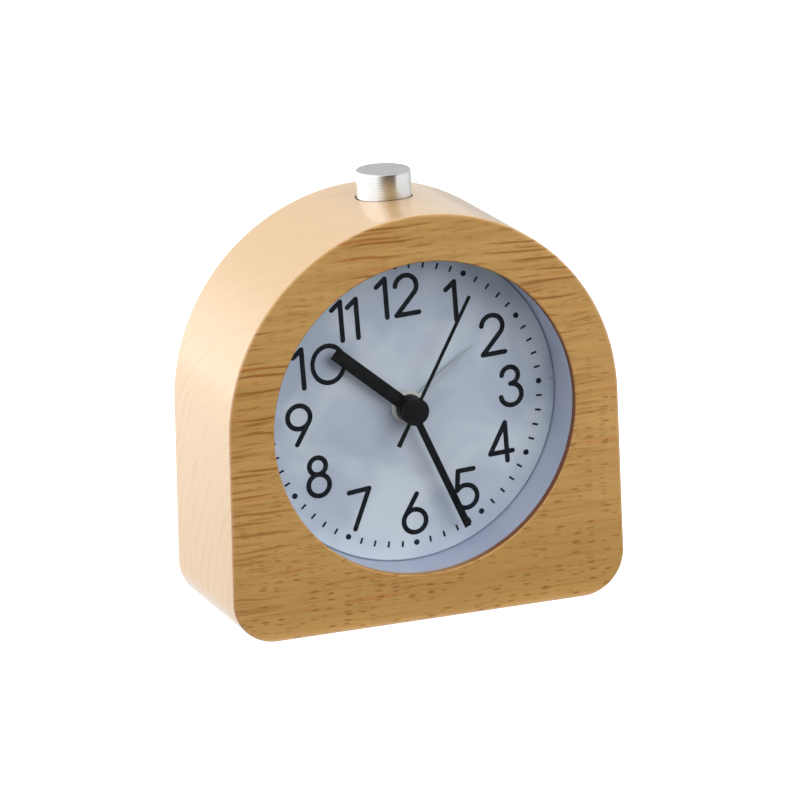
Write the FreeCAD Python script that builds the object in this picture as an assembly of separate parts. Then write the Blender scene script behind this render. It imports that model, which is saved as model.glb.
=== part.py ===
import FreeCAD, Part

import math
import os

from FreeCAD import Vector

# Small arched desk clock with an alarm: a solid wooden case with a round dial
# behind its front lip, a battery quartz movement inside, a round plastic back
# with two setting knobs and a battery door, and one metal button on top.
# Frame: millimetres, +Z up, x to the right as seen from the front, the front
# face looks along -Y, and the origin is under the middle of the case.
# Depths are counted from the front face backwards, and rises from the middle
# of the dial upwards.

# Wood around the bore
case_wall = 8.4
foot_wall = 8.6
arch_rise = 0.2
side_flare = 0.6
corner_radius = 10.7
case_edge_radius = 0.7
opening_edge_radius = 0.35
lip_thickness = 2.0
rebate_step = 4.5
rebate_depth = 6.5

# Fits and gaps shared by the pieces
slip_gap = 0.3
running_gap = 0.05
level_gap = 0.4
overrun = 1.0

# Lens, white ring and dial
lens_thickness = 1.5
ring_wall = 2.1
lip_cover = 0.4
dial_thickness = 0.5
dial_gap = 0.12
dial_hole_radius = 3.4
dial_turn_angle = 2.85
notch_depth = 1.7
notch_width = 2.6
web_thickness = 1.5
web_hole_radius = 7.0
pillar_radius = 2.0
pillar_inset = 2.1
pillar_angles = (40.0, 140.0, 250.0, 290.0)

# Printed dial marks; the insets are counted from the edge of the dial
print_thickness = 0.06
dot_inset = 4.2
dot_radius = 0.7
tick_length = 1.5
tick_width = 0.5
numeral_inset = 11.5
numeral_height = 9.5
stroke_width = 1.2
ten_spread = 7.6
ten_shift = 1.1
eleven_spread = 4.0
eleven_shift = 0.0
twelve_spread = 6.3
twelve_shift = -0.75

# Hands, from the lens backwards; the ends are counted from the edge of the dial
lens_hand_gap = 4.2
second_hand_room = 2.0
hand_level = 1.4
alarm_hand_room = 1.7
hand_thickness = 0.3
second_hand_inset = 8.2
second_tail_length = 9.3
second_hand_width = 0.8
second_tail_width = 1.1
minute_hand_inset = 5.0
minute_hand_width = 1.75
hour_hand_inset = 14.1
hour_hand_width = 3.3
alarm_hand_inset = 17.3
alarm_hand_width = 1.5
hub_radius = 3.35
hub_thickness = 1.1
alarm_hub_radius = 4.0
second_time_angle = 28.8
minute_time_angle = 156.4
hour_time_angle = 310.5
alarm_time_angle = 52.3

# Nested pipes on the hand axis
second_arbor_radius = 0.45
minute_pipe_radius = 1.4
hour_pipe_radius = 2.1
alarm_pipe_radius = 2.9

# Movement box
box_wall = 1.0
box_side_gap = 0.2
box_wheel_gap = 0.525
box_coil_gap = 0.8
front_plate_thickness = 1.0
middle_plate_thickness = 0.8
middle_plate_gap = 1.3
ledge_top_rise = 4.0
wheel_end_room = 0.7
rear_wall_thickness = 1.0
ear_radius = 2.8
ear_thickness = 1.0
ear_high_rise = 12.0
ear_low_rise = -7.0
boss_height = 2.0
movement_screw_radius = 0.9
movement_screw_head_radius = 1.8
movement_screw_head_height = 1.0

# Wheels: teeth, and the distances between arbors that fix the tooth sizes
arbor_radius = 0.4
tooth_tip_share = 0.16
tooth_root_share = 0.54
addendum_share = 0.75
dedendum_share = 1.05
cannon_teeth = 12
minute_wheel_teeth = 36
minute_pinion_teeth = 10
hour_wheel_teeth = 40
set_gear_teeth = 12
alarm_wheel_teeth = 36
alarm_pinion_teeth = 12
centre_wheel_teeth = 60
third_pinion_teeth = 8
third_wheel_teeth = 64
second_pinion_teeth = 8
second_wheel_teeth = 60
step_pinion_teeth = 10
step_wheel_teeth = 60
rotor_pinion_teeth = 12
motion_distance = 12.0
alarm_distance = 13.92
third_distance = 9.5
rotor_distance = 7.2
knob_drop_angle = 14.14
step_angle = 20.0
rotor_angle = 60.0
thick_wheel = 1.0
motion_wheel = 0.8
train_wheel = 0.6
pinion_extra = 0.2
level_step = 1.5

# Stepping motor
stator_thickness = 1.0
stator_hole_radius = 3.0
rotor_magnet_radius = 2.6
rotor_magnet_length = 1.8
stator_ring_width = 1.7
stator_leg_width = 3.0
stator_leg_gap = 14.8
core_width = 3.0
bobbin_flange_half = 3.2
bobbin_flange_thickness = 0.8
bobbin_wall = 0.6
winding_radius = 2.9

# Circuit board and what it carries
board_inset = 2.0
board_top_inset = 1.5
board_bottom_rise = 2.5
board_thickness = 1.0
board_post_height = 0.6
board_post_radius = 1.2
board_post_inset = 2.0
chip_radius = 3.0
chip_height = 0.9
quartz_radius = 1.0
quartz_length = 6.0
pad_height = 1.0
pad_size = 1.4

# Buzzer
buzzer_radius = 8.4
buzzer_thickness = 0.5
buzzer_x = -16.0
buzzer_rise = 15.5
buzzer_ring_wall = 1.0
buzzer_ledge = 0.8
sound_hole_radius = 0.7
sound_hole_circle_radius = 3.4
sound_hole_count = 6

# Back cover, battery tray and door
cover_thickness = 2.0
cover_edge_radius = 0.5
cover_screw_radius = 1.0
cover_screw_head_radius = 1.7
cover_screw_head_height = 1.1
cover_screw_length = 8.0
cover_screw_angles = (45.0, 135.0, 225.0, 315.0)
screw_slot_width = 0.5
screw_slot_depth = 0.5
screw_slot_share = 0.7
battery_radius = 7.25
battery_length = 50.5
battery_edge_radius = 0.5
battery_nub_radius = 2.75
battery_nub_length = 1.0
tray_wall = 1.1
tray_side_gap = 0.55
tray_end_gap = 0.2
tray_bore_gap = 0.7
spring_room = 2.2
contact_thickness = 0.4
contact_width = 9.0
contact_spring_wire_radius = 0.3
contact_spring_turns = 2
contact_spring_radius = 3.0
door_thickness = 1.5
door_gap = 0.25
door_battery_gap = 0.4
door_pin_radius = 0.55
door_pin_length = 1.5
door_pin_inset = 4.6
door_ear_height = 2.4
thumb_notch_radius = 5.0
thumb_notch_depth = 1.1
door_rib_count = 5
door_rib_pitch = 1.4
door_rib_height = 0.35
door_rib_width = 0.6
door_rib_length = 12.0

# Knobs and the alarm switch
set_shaft_radius = 1.2
knob_radius = 5.4
knob_height = 3.6
knob_flutes = 24
knob_flute_radius = 0.45
switch_rise = 9.0
switch_travel = 3.0
switch_nub_size = 2.6
switch_nub_height = 1.4
switch_base_length = 7.0
switch_base_width = 4.6
switch_base_thickness = 1.0
switch_rail_width = 1.0

# Button on top
button_setback = 3.6
button_radius = 6.6
button_stand = 6.3
button_edge_radius = 0.45
button_skirt = 9.6
button_wall = 2.0
button_travel = 1.5
button_end_gap = 0.2
button_hole_gap = 0.3
button_bush_flange = 1.0
stem_radius = 2.0
stem_socket_depth = 1.0
bush_wall = 1.35
bush_below = 0.7
clip_thickness = 0.6
clip_gap = 0.2
clip_width = 1.2
clip_mouth_share = 0.6
stem_below_clip = 0.7
button_spring_radius = 3.2
button_spring_wire_radius = 0.3
button_spring_turns = 5
plunger_radius = 1.5
plunger_stand = 2.4
snooze_body_size = 6.0
snooze_body_height = 3.5
lead_radius = 0.45
lead_spread = 3.0
lead_bend_radius = 2.3


def polar(distance, angle):
    """Offset (x, rise) at a distance and an angle counter-clockwise from +x."""
    turn = math.radians(angle)
    return distance * math.cos(turn), distance * math.sin(turn)


def module_of(distance, teeth, other_teeth):
    """Tooth size from the distance between two arbors."""
    return 2 * distance / (teeth + other_teeth)


def tip_radius(teeth, module):
    """Radius over the tips of a wheel's teeth."""
    return module * (teeth / 2 + addendum_share)


# Tooth sizes of the meshing pairs; the step wheel's arbor stands just outside the centre wheel
motion_module = module_of(motion_distance, cannon_teeth, minute_wheel_teeth)
hour_module = module_of(motion_distance, minute_pinion_teeth, hour_wheel_teeth)
alarm_module = module_of(alarm_distance, alarm_wheel_teeth, alarm_pinion_teeth)
centre_module = module_of(third_distance, centre_wheel_teeth, third_pinion_teeth)
third_module = module_of(third_distance, third_wheel_teeth, second_pinion_teeth)
step_distance = tip_radius(centre_wheel_teeth, centre_module) + arbor_radius + level_gap
second_module = module_of(step_distance, second_wheel_teeth, step_pinion_teeth)
step_module = module_of(rotor_distance, step_wheel_teeth, rotor_pinion_teeth)

# Places of the arbors, as (x, rise)
alarm_set_place = polar(alarm_distance, -knob_drop_angle)
time_set_place = (-alarm_set_place[0], alarm_set_place[1])


def minute_arbor_place():
    """The minute wheel sits one meshing distance from the hands and from the setting shaft."""
    x, rise = time_set_place
    span = math.hypot(x, rise)
    height = math.sqrt(motion_distance**2 - (span / 2) ** 2)
    return x / 2 + height * rise / span, rise / 2 - height * x / span


minute_place = minute_arbor_place()
third_place = (0, third_distance)
step_place = polar(step_distance, step_angle)
rotor_offset = polar(rotor_distance, rotor_angle)
rotor_place = (step_place[0] + rotor_offset[0], step_place[1] + rotor_offset[1])

# Movement box, wide enough for the stator and high enough for the coil above the third wheel
coil_bottom_rise = third_distance + tip_radius(third_wheel_teeth, third_module) + running_gap
stator_top_rise = coil_bottom_rise + 2 * bobbin_flange_half
middle_plate_top_rise = coil_bottom_rise - middle_plate_gap
box_half_width = rotor_place[0] + stator_leg_gap / 2 + stator_leg_width + box_side_gap + box_wall
box_top_rise = stator_top_rise + box_coil_gap + box_wall
box_bottom_rise = -tip_radius(alarm_wheel_teeth, alarm_module) - box_wheel_gap - box_wall
board_left = buzzer_x + buzzer_radius + buzzer_ring_wall + 2 * slip_gap
board_right = box_half_width - board_inset
board_top_rise = box_top_rise - board_top_inset

# Battery tray under the box, and the bore that takes its corners, in whole tenths
tray_half_length = (battery_length + spring_room + 2 * contact_thickness) / 2
battery_tip = tray_half_length - contact_thickness
battery_drop = tray_end_gap - box_bottom_rise + tray_wall + tray_side_gap + battery_radius
tray_top_rise = -battery_drop + battery_radius + tray_side_gap
tray_bottom_rise = -battery_drop - battery_radius - tray_side_gap
inner_clip_radius = math.hypot(battery_tip, battery_drop + battery_radius) + tray_end_gap
tray_clip_radius = inner_clip_radius + tray_wall
bore_radius = round(tray_clip_radius + tray_bore_gap, 1)

# Case, lip, ring and printed circles around that bore
arch_radius = bore_radius + case_wall
dial_height = bore_radius + foot_wall
case_height = dial_height + arch_rise + arch_radius
case_width = 2 * (arch_radius + side_flare)
rebate_radius = bore_radius + rebate_step
ring_radius = bore_radius - slip_gap - ring_wall
opening_radius = ring_radius - lip_cover
pillar_circle_radius = ring_radius - pillar_inset
cover_screw_circle_radius = bore_radius + 2 * cover_screw_radius
dot_circle_radius = ring_radius - dot_inset
numeral_circle_radius = ring_radius - numeral_inset
second_hand_length = ring_radius - second_hand_inset
minute_hand_length = ring_radius - minute_hand_inset
hour_hand_length = ring_radius - hour_hand_inset
alarm_hand_length = ring_radius - alarm_hand_inset

# Depths behind the front face, level by level
lens_back = lip_thickness + lens_thickness
second_hand_depth = lens_back + lens_hand_gap
minute_hand_depth = second_hand_depth + second_hand_room
hour_hand_depth = minute_hand_depth + hand_level
alarm_hand_depth = hour_hand_depth + hand_level
dial_front = alarm_hand_depth + alarm_hand_room
dial_back = dial_front + dial_thickness
web_back = dial_back + web_thickness
front_plate_back = web_back + front_plate_thickness
alarm_wheel_front = front_plate_back + level_gap
hour_wheel_front = alarm_wheel_front + thick_wheel + level_gap
minute_wheel_front = hour_wheel_front + motion_wheel + level_gap + pinion_extra
cannon_back = minute_wheel_front + motion_wheel + pinion_extra
middle_plate_front = cannon_back + level_gap
middle_plate_back = middle_plate_front + middle_plate_thickness
centre_wheel_front = middle_plate_back + level_gap
third_wheel_front = centre_wheel_front + level_step
second_wheel_front = third_wheel_front + level_step
step_wheel_front = second_wheel_front + level_step
stator_front = second_wheel_front - level_gap
core_front = stator_front - stator_thickness
rear_wall_front = step_wheel_front + train_wheel + pinion_extra + wheel_end_room
rear_wall_back = rear_wall_front + rear_wall_thickness
board_front = rear_wall_back + board_post_height
board_back = board_front + board_thickness

# The cover stands behind the board's parts and the battery tray, and fixes the case's depth
battery_setback = door_thickness / 2 + door_battery_gap + battery_radius
tray_depth = battery_setback + battery_radius + tray_side_gap + tray_wall - cover_thickness / 2
quartz_room = 2 * quartz_radius + slip_gap
cover_front = max(board_back + quartz_room, web_back + level_gap + tray_depth)
cover_back = cover_front + cover_thickness
door_middle = cover_front + cover_thickness / 2
battery_depth = door_middle - battery_setback
door_pin_rise = tray_bottom_rise + door_gap + door_thickness / 2
case_depth = cover_front + rebate_depth
button_depth = case_depth / 2 + button_setback

# Heights of the button's pieces, from the foot of the case
button_top = case_height + button_stand
button_bottom = button_top - button_skirt
button_ledge = button_bottom - button_travel - button_bush_flange - button_end_gap
button_ceiling = button_top - button_wall
bore_top = dial_height + bore_radius
bush_bottom = bore_top - bush_below
clip_top = bush_bottom - clip_gap
stem_bottom = clip_top - clip_thickness - stem_below_clip
snooze_top = stem_bottom - plunger_stand
snooze_bottom = snooze_top - snooze_body_height


def point(x, depth, rise):
    """A point given by its depth behind the front face and rise above the dial's middle."""
    return Vector(x, depth - case_depth / 2, dial_height + rise)


def disc(radius, front, back, x=0, rise=0):
    """A round bar along the depth, between two depths."""
    return Part.makeCylinder(radius, back - front, point(x, front, rise), Vector(0, 1, 0))


def tube(outer, inner, front, back, x=0, rise=0):
    """A round tube along the depth."""
    return disc(outer, front, back, x, rise).cut(disc(inner, front, back, x, rise))


def block(left, right, low, high, front, back):
    """A box between two x values, two rises and two depths."""
    return Part.makeBox(right - left, back - front, high - low, point(left, front, low))


def plate(corners, front, back):
    """A flat plate with the given (x, rise) corners."""
    outline = [point(x, front, rise) for x, rise in corners]
    outline.append(outline[0])
    face = Part.Face(Part.makePolygon(outline))
    return face.extrude(Vector(0, back - front, 0))


def join(shapes):
    """One solid from pieces that touch or overlap."""
    return shapes[0].multiFuse(shapes[1:]).removeSplitter()


def turned(shape, angle, x=0, rise=0):
    """The shape turned counter-clockwise, as seen from the front."""
    result = shape.copy()
    result.rotate(point(x, 0, rise), Vector(0, -1, 0), angle)
    return result


def direction(start, end):
    """The angle of the line from one arbor to another."""
    return math.degrees(math.atan2(end[1] - start[1], end[0] - start[0]))


def meshed_phase(phase, teeth, other_teeth, angle):
    """The phase that puts a gap of the other wheel on this wheel's tooth, along the angle between them."""
    pitch = 360.0 / teeth
    lag = (angle - phase) % pitch
    return angle + 180.0 + lag * teeth / other_teeth + 180.0 / other_teeth


def gear(teeth, module, front, back, place, phase):
    """A toothed wheel with straight-sided teeth, one of them centred on the phase angle."""
    pitch_radius = teeth * module / 2
    tip = pitch_radius + addendum_share * module
    root = pitch_radius - dedendum_share * module
    profile = (
        (root, -tooth_root_share / 2),
        (tip, -tooth_tip_share / 2),
        (tip, tooth_tip_share / 2),
        (root, tooth_root_share / 2),
    )
    corners = []
    for tooth in range(teeth):
        for radius, share in profile:
            x, rise = polar(radius, phase + (tooth + share) * 360.0 / teeth)
            corners.append((place[0] + x, place[1] + rise))
    return plate(corners, front, back)


# Phases, followed along the train so that every pair is in mesh
origin_place = (0, 0)
minute_angle = direction(origin_place, minute_place)
cannon_phase = minute_angle
minute_wheel_phase = meshed_phase(cannon_phase, cannon_teeth, minute_wheel_teeth, minute_angle)
minute_pinion_phase = minute_angle + 180.0
hour_wheel_phase = meshed_phase(
    minute_pinion_phase, minute_pinion_teeth, hour_wheel_teeth, minute_angle + 180.0
)
set_angle = direction(minute_place, time_set_place)
set_gear_phase = meshed_phase(minute_wheel_phase, minute_wheel_teeth, set_gear_teeth, set_angle)
alarm_angle = -knob_drop_angle
alarm_pinion_phase = meshed_phase(alarm_angle, alarm_wheel_teeth, alarm_pinion_teeth, alarm_angle)
third_angle = direction(origin_place, third_place)
third_pinion_phase = meshed_phase(third_angle, centre_wheel_teeth, third_pinion_teeth, third_angle)
third_wheel_phase = third_angle + 180.0
second_pinion_phase = meshed_phase(
    third_wheel_phase, third_wheel_teeth, second_pinion_teeth, third_angle + 180.0
)
step_pinion_phase = meshed_phase(step_angle, second_wheel_teeth, step_pinion_teeth, step_angle)
rotor_pinion_phase = meshed_phase(rotor_angle, step_wheel_teeth, rotor_pinion_teeth, rotor_angle)


def case_outline(inset):
    """Face of the case's front: an arch over nearly upright sides, with rounded feet."""
    arch_middle = case_height - arch_radius
    foot_x = case_width / 2 - corner_radius
    arch_r = arch_radius - inset
    foot_r = corner_radius - inset
    across = math.hypot(foot_x, corner_radius - arch_middle)
    lean = math.acos((arch_radius - corner_radius) / across)
    lean += math.atan2(corner_radius - arch_middle, foot_x)
    side = (math.cos(lean), math.sin(lean))
    half = math.sqrt(0.5)

    def at(x, height):
        return Vector(x, -case_depth / 2, height)

    shoulder = (arch_r * side[0], arch_middle + arch_r * side[1])
    hip = (foot_x + foot_r * side[0], corner_radius + foot_r * side[1])
    knee = (foot_x + foot_r * half, corner_radius - foot_r * half)
    toe = (foot_x, inset)
    edges = [
        Part.LineSegment(at(-toe[0], toe[1]), at(toe[0], toe[1])),
        Part.Arc(at(toe[0], toe[1]), at(knee[0], knee[1]), at(hip[0], hip[1])),
        Part.LineSegment(at(hip[0], hip[1]), at(shoulder[0], shoulder[1])),
        Part.Arc(
            at(shoulder[0], shoulder[1]),
            at(0, case_height - inset),
            at(-shoulder[0], shoulder[1]),
        ),
        Part.LineSegment(at(-shoulder[0], shoulder[1]), at(-hip[0], hip[1])),
        Part.Arc(at(-hip[0], hip[1]), at(-knee[0], knee[1]), at(-toe[0], toe[1])),
    ]
    return Part.Face(Part.Wire([edge.toShape() for edge in edges]))


def edges_at_depth(shape, depth, least_radius):
    """The shape's edges that lie flat at one depth and reach outside a radius about the dial."""
    y = depth - case_depth / 2
    middle = Vector(0, y, dial_height)
    found = []
    for edge in shape.Edges:
        box = edge.BoundBox
        flat = abs(box.YMin - y) < running_gap and abs(box.YMax - y) < running_gap
        far = (edge.valueAt(edge.FirstParameter) - middle).Length > least_radius
        if flat and far:
            found.append(edge)
    return found


def upright(radius, low, high, x=0, depth=button_depth):
    """A round bar along z, between two heights."""
    foot = Vector(x, depth - case_depth / 2, low)
    return Part.makeCylinder(radius, high - low, foot, Vector(0, 0, 1))


def wood_case():
    """One block of wood, bored from the back up to a thin front lip."""
    body = case_outline(0).extrude(Vector(0, case_depth, 0))
    rims = edges_at_depth(body, 0, 0) + edges_at_depth(body, case_depth, 0)
    body = body.makeFillet(case_edge_radius, rims)
    body = body.cut(disc(opening_radius, -overrun, case_depth + overrun))
    body = body.cut(disc(bore_radius, lip_thickness, case_depth + overrun))
    body = body.cut(disc(rebate_radius, cover_front, case_depth + overrun))
    rim = [
        edge
        for edge in edges_at_depth(body, 0, 0)
        if abs(edge.Length - 2 * math.pi * opening_radius) < running_gap
    ]
    body = body.makeChamfer(opening_edge_radius, rim)
    well = upright(button_radius + button_hole_gap, button_ledge, case_height + overrun)
    neck_radius = stem_radius + running_gap + bush_wall + slip_gap
    neck = upright(neck_radius, bore_top - bore_radius / 2, button_ledge + overrun)
    body = body.cut(well).cut(neck)
    for angle in cover_screw_angles:
        x, rise = polar(cover_screw_circle_radius, angle)
        hole = disc(cover_screw_radius, cover_front - cover_screw_length, cover_front + overrun, x, rise)
        body = body.cut(hole)
    return body


def lens():
    """Clear flat disc that rests against the back of the lip."""
    return disc(bore_radius - slip_gap, lip_thickness, lens_back)


def notch(outset):
    """Wedge at three o'clock on the dial's edge; the ring's key fills it."""
    reach = ring_radius + overrun
    tip = ring_radius - notch_depth - outset
    half = notch_width / 2 + outset
    wedge = plate(((tip, 0), (reach, -half), (reach, half)), dial_front - overrun, dial_back + overrun)
    return turned(wedge, dial_turn_angle)


def inner_ring():
    """White drum from the lens to behind the dial, with a web, bosses and four pillars."""
    drum = tube(bore_radius - slip_gap, ring_radius, lens_back, web_back)
    web = disc(bore_radius - slip_gap, dial_back, web_back)
    web = web.cut(disc(web_hole_radius, dial_front, web_back + overrun))
    key = notch(0).common(disc(ring_radius + overrun / 2, dial_front, dial_back))
    pieces = [drum, web, key]
    for angle in pillar_angles:
        x, rise = polar(pillar_circle_radius, angle)
        pieces.append(disc(pillar_radius, dial_back, cover_front, x, rise))
    for x, rise in ear_places():
        pieces.append(disc(ear_radius, dial_back, web_back + boss_height, x, rise))
    body = join(pieces)
    for x, rise in ear_places():
        body = body.cut(disc(movement_screw_radius, dial_back, web_back + boss_height + overrun, x, rise))
    return body


def ear_places():
    """Places of the four screws that hold the movement to the ring."""
    reach = box_half_width + ear_radius + slip_gap
    return [(side * reach, rise) for side in (-1, 1) for rise in (ear_high_rise, ear_low_rise)]


def dial_plate():
    """White dial, set in the ring, with a keyway at three o'clock."""
    body = disc(ring_radius - dial_gap, dial_front, dial_back)
    body = body.cut(disc(dial_hole_radius, dial_front - overrun, dial_back + overrun))
    return body.cut(notch(dial_gap))


def printed(shapes, x, rise):
    """Ink shapes drawn flat, brought onto the front of the dial and turned with it."""
    ink = shapes[0].multiFuse(shapes[1:]).removeSplitter() if len(shapes) > 1 else shapes[0]
    ink.rotate(Vector(0, 0, 0), Vector(1, 0, 0), 90)
    ink.translate(point(x, dial_front, rise))
    return turned(ink, dial_turn_angle)


def bar(start, end, width=stroke_width):
    """Ink bar with round ends between two flat points."""
    run = math.hypot(end[0] - start[0], end[1] - start[1])
    up = Vector(0, 0, 1)
    body = Part.makeBox(run, width, print_thickness, Vector(0, -width / 2, 0))
    body = body.fuse(Part.makeCylinder(width / 2, print_thickness))
    body = body.fuse(Part.makeCylinder(width / 2, print_thickness, Vector(run, 0, 0)))
    body.rotate(Vector(0, 0, 0), up, math.degrees(math.atan2(end[1] - start[1], end[0] - start[0])))
    body.translate(Vector(start[0], start[1], 0))
    return body


def bow(middle, radius, start_angle, sweep_angle):
    """Ink arc with round ends, counter-clockwise from its start angle."""
    up = Vector(0, 0, 1)
    place = Vector(middle[0], middle[1], 0)
    outer = Part.makeCylinder(radius + stroke_width / 2, print_thickness, place, up, sweep_angle)
    inner = Part.makeCylinder(radius - stroke_width / 2, print_thickness, place, up)
    body = outer.cut(inner)
    body.rotate(place, up, start_angle)
    if sweep_angle < 360:
        for angle in (start_angle, start_angle + sweep_angle):
            x, y = polar(radius, angle)
            cap = Part.makeCylinder(stroke_width / 2, print_thickness, place + Vector(x, y, 0))
            body = body.fuse(cap)
    return body


# Strokes of the digits in shares of half the numeral's height, from its middle.
# A bar has two or more corners; a bow has its middle, radius, start and sweep.
digit_shares = {
    "0": (("oval", (0, 0), 0.95, 0.89),),
    "1": (("bars", (-0.24, 0.64), (0.23, 1.0), (0.23, -1.0)),),
    "2": (
        ("bow", (0, 0.43), 0.57, -38.0, 210.0),
        ("bars", (0.45, 0.08), (-0.6, -1.0), (0.6, -1.0)),
    ),
    "3": (
        ("bow", (0, 0.56), 0.44, -90.0, 262.0),
        ("bow", (0, -0.44), 0.56, -172.0, 262.0),
    ),
    "4": (
        ("bars", (0.3, 1.0), (-0.61, -0.53), (0.61, -0.53)),
        ("bars", (0.3, 1.0), (0.3, -1.0)),
    ),
    "5": (
        ("bars", (0.5, 1.0), (-0.34, 1.0), (-0.46, 0.0)),
        ("bow", (0, -0.4), 0.6, -155.0, 295.0),
    ),
    "6": (
        ("bow", (0, -0.4), 0.6, 0.0, 360.0),
        ("bars", (0.2, 1.0), (-0.52, -0.1)),
    ),
    "7": (("bars", (-0.54, 0.94), (0.54, 1.0), (-0.36, -1.0)),),
    "8": (
        ("bow", (0, 0.56), 0.44, 0.0, 360.0),
        ("bow", (0, -0.44), 0.56, 0.0, 360.0),
    ),
    "9": (
        ("bow", (0, 0.4), 0.6, 0.0, 360.0),
        ("bars", (-0.2, -1.0), (0.52, 0.1)),
    ),
}


def oval(middle, high_share, wide_share):
    """Ink ring of a nought, a little narrower than it is high."""
    half = numeral_height / 2 * high_share
    outer = Part.makeCylinder(half + stroke_width / 2, print_thickness)
    inner = Part.makeCylinder(half - stroke_width / 2, print_thickness)
    squeeze = FreeCAD.Matrix()
    squeeze.scale(Vector(wide_share, 1, 1))
    body = outer.cut(inner).transformGeometry(squeeze)
    body.translate(Vector(middle[0], middle[1], 0))
    return body


def digit(name, shift):
    """Ink pieces of one digit, moved sideways."""
    unit = numeral_height / 2
    pieces = []
    for stroke in digit_shares[name]:
        kind = stroke[0]
        if kind == "bars":
            places = [(shift + x * unit, y * unit) for x, y in stroke[1:]]
            pieces += [bar(a, b) for a, b in zip(places, places[1:])]
        else:
            middle = (shift + stroke[1][0] * unit, stroke[1][1] * unit)
            if kind == "oval":
                pieces.append(oval(middle, stroke[2], stroke[3]))
            else:
                pieces.append(bow(middle, stroke[2] * unit, stroke[3], stroke[4]))
    return pieces


def numeral_place(hour):
    """Middle of a numeral on the dial's own axes, as (x, rise)."""
    return polar(numeral_circle_radius, 90.0 - hour * 30.0)


def dial_numerals():
    """The twelve upright numerals, each digit its own ink solid."""
    pairs = {
        "10": (ten_spread, ten_shift),
        "11": (eleven_spread, eleven_shift),
        "12": (twelve_spread, twelve_shift),
    }
    solids = []
    for hour in range(1, 13):
        x, rise = numeral_place(hour)
        digits = str(hour)
        for index, name in enumerate(digits):
            shift = 0
            if digits in pairs:
                spread, middle = pairs[digits]
                shift = middle + (index - 0.5) * spread
            ink = printed(digit(name, 0), 0, 0)
            ink.translate(turned_offset(x + shift, rise))
            solids.append(ink)
    return Part.makeCompound(solids)


def turned_offset(x, rise):
    """An offset on the dial's own axes, as a vector of the case."""
    turn = math.radians(dial_turn_angle)
    right = x * math.cos(turn) - rise * math.sin(turn)
    up = x * math.sin(turn) + rise * math.cos(turn)
    return Vector(right, 0, up)


def dial_marks():
    """Twelve hour dots and forty-eight minute ticks, as thin ink solids."""
    solids = []
    for minute in range(60):
        angle = 90.0 - minute * 6.0
        if minute % 5 == 0:
            mark = Part.makeCylinder(dot_radius, print_thickness)
        else:
            corner = Vector(-tick_width / 2, -tick_length / 2, 0)
            mark = Part.makeBox(tick_width, tick_length, print_thickness, corner)
            mark.rotate(Vector(0, 0, 0), Vector(0, 0, 1), angle - 90.0)
        ink = printed([mark], 0, 0)
        x, rise = polar(dot_circle_radius, angle)
        ink.translate(turned_offset(x, rise))
        solids.append(ink)
    return Part.makeCompound(solids)


def hand_blade(start_width, end_width, start, end, depth, time_angle):
    """Straight blade between two distances from the axis, pointing at a time angle."""
    corners = (
        (-start_width / 2, start),
        (start_width / 2, start),
        (end_width / 2, end),
        (-end_width / 2, end),
    )
    blade = plate(corners, depth, depth + hand_thickness)
    return turned(blade, -time_angle)


def hub(radius, inner, depth):
    """Round boss of a hand, centred on the blade's depth."""
    front = depth + hand_thickness / 2 - hub_thickness / 2
    body = disc(radius, front, front + hub_thickness)
    if inner:
        body = body.cut(disc(inner, front, front + hub_thickness))
    return body


def second_hand():
    """Thin sweep hand with a short tail and a round cap."""
    cap = hub(hub_radius, 0, second_hand_depth)
    point_blade = hand_blade(
        second_hand_width, second_hand_width, 0, second_hand_length, second_hand_depth, second_time_angle
    )
    tail = hand_blade(
        second_hand_width, second_tail_width, 0, second_tail_length, second_hand_depth, second_time_angle + 180.0
    )
    return join([cap, point_blade, tail])


def minute_hand():
    """Straight black bar with a flat end on the minute pipe."""
    blade = hand_blade(
        minute_hand_width, minute_hand_width, 0, minute_hand_length, minute_hand_depth, minute_time_angle
    )
    body = join([hub(hub_radius, 0, minute_hand_depth), blade])
    return body.cut(disc(minute_pipe_radius, 0, dial_front))


def hour_hand():
    """Broad black bar with a flat end on the hour pipe."""
    blade = hand_blade(hour_hand_width, hour_hand_width, 0, hour_hand_length, hour_hand_depth, hour_time_angle)
    body = join([hub(hub_radius, 0, hour_hand_depth), blade])
    return body.cut(disc(hour_pipe_radius, 0, dial_front))


def alarm_hand():
    """Slim pale pointer on the alarm pipe, widest at a third of its length."""
    wide = alarm_hub_radius + (alarm_hand_length - alarm_hub_radius) / 2
    near = hand_blade(alarm_hand_width / 2, alarm_hand_width, 0, wide, alarm_hand_depth, alarm_time_angle)
    far = hand_blade(
        alarm_hand_width, print_thickness * 2, wide, alarm_hand_length, alarm_hand_depth, alarm_time_angle
    )
    body = join([hub(alarm_hub_radius, 0, alarm_hand_depth), near, far])
    return body.cut(disc(alarm_pipe_radius, 0, dial_front))


def hub_front(depth):
    """Front face of a hand's boss."""
    return depth + hand_thickness / 2 - hub_thickness / 2


def alarm_wheel():
    """Alarm wheel on the outermost pipe."""
    back = alarm_wheel_front + thick_wheel
    wheel = gear(alarm_wheel_teeth, alarm_module, alarm_wheel_front, back, origin_place, alarm_angle)
    pipe = disc(alarm_pipe_radius, hub_front(alarm_hand_depth), back)
    body = join([wheel, pipe])
    return body.cut(disc(hour_pipe_radius + running_gap, 0, case_depth))


def hour_wheel():
    """Hour wheel on the middle pipe."""
    back = hour_wheel_front + motion_wheel
    wheel = gear(hour_wheel_teeth, hour_module, hour_wheel_front, back, origin_place, hour_wheel_phase)
    pipe = disc(hour_pipe_radius, hub_front(hour_hand_depth), back)
    body = join([wheel, pipe])
    return body.cut(disc(minute_pipe_radius + running_gap, 0, case_depth))


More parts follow.
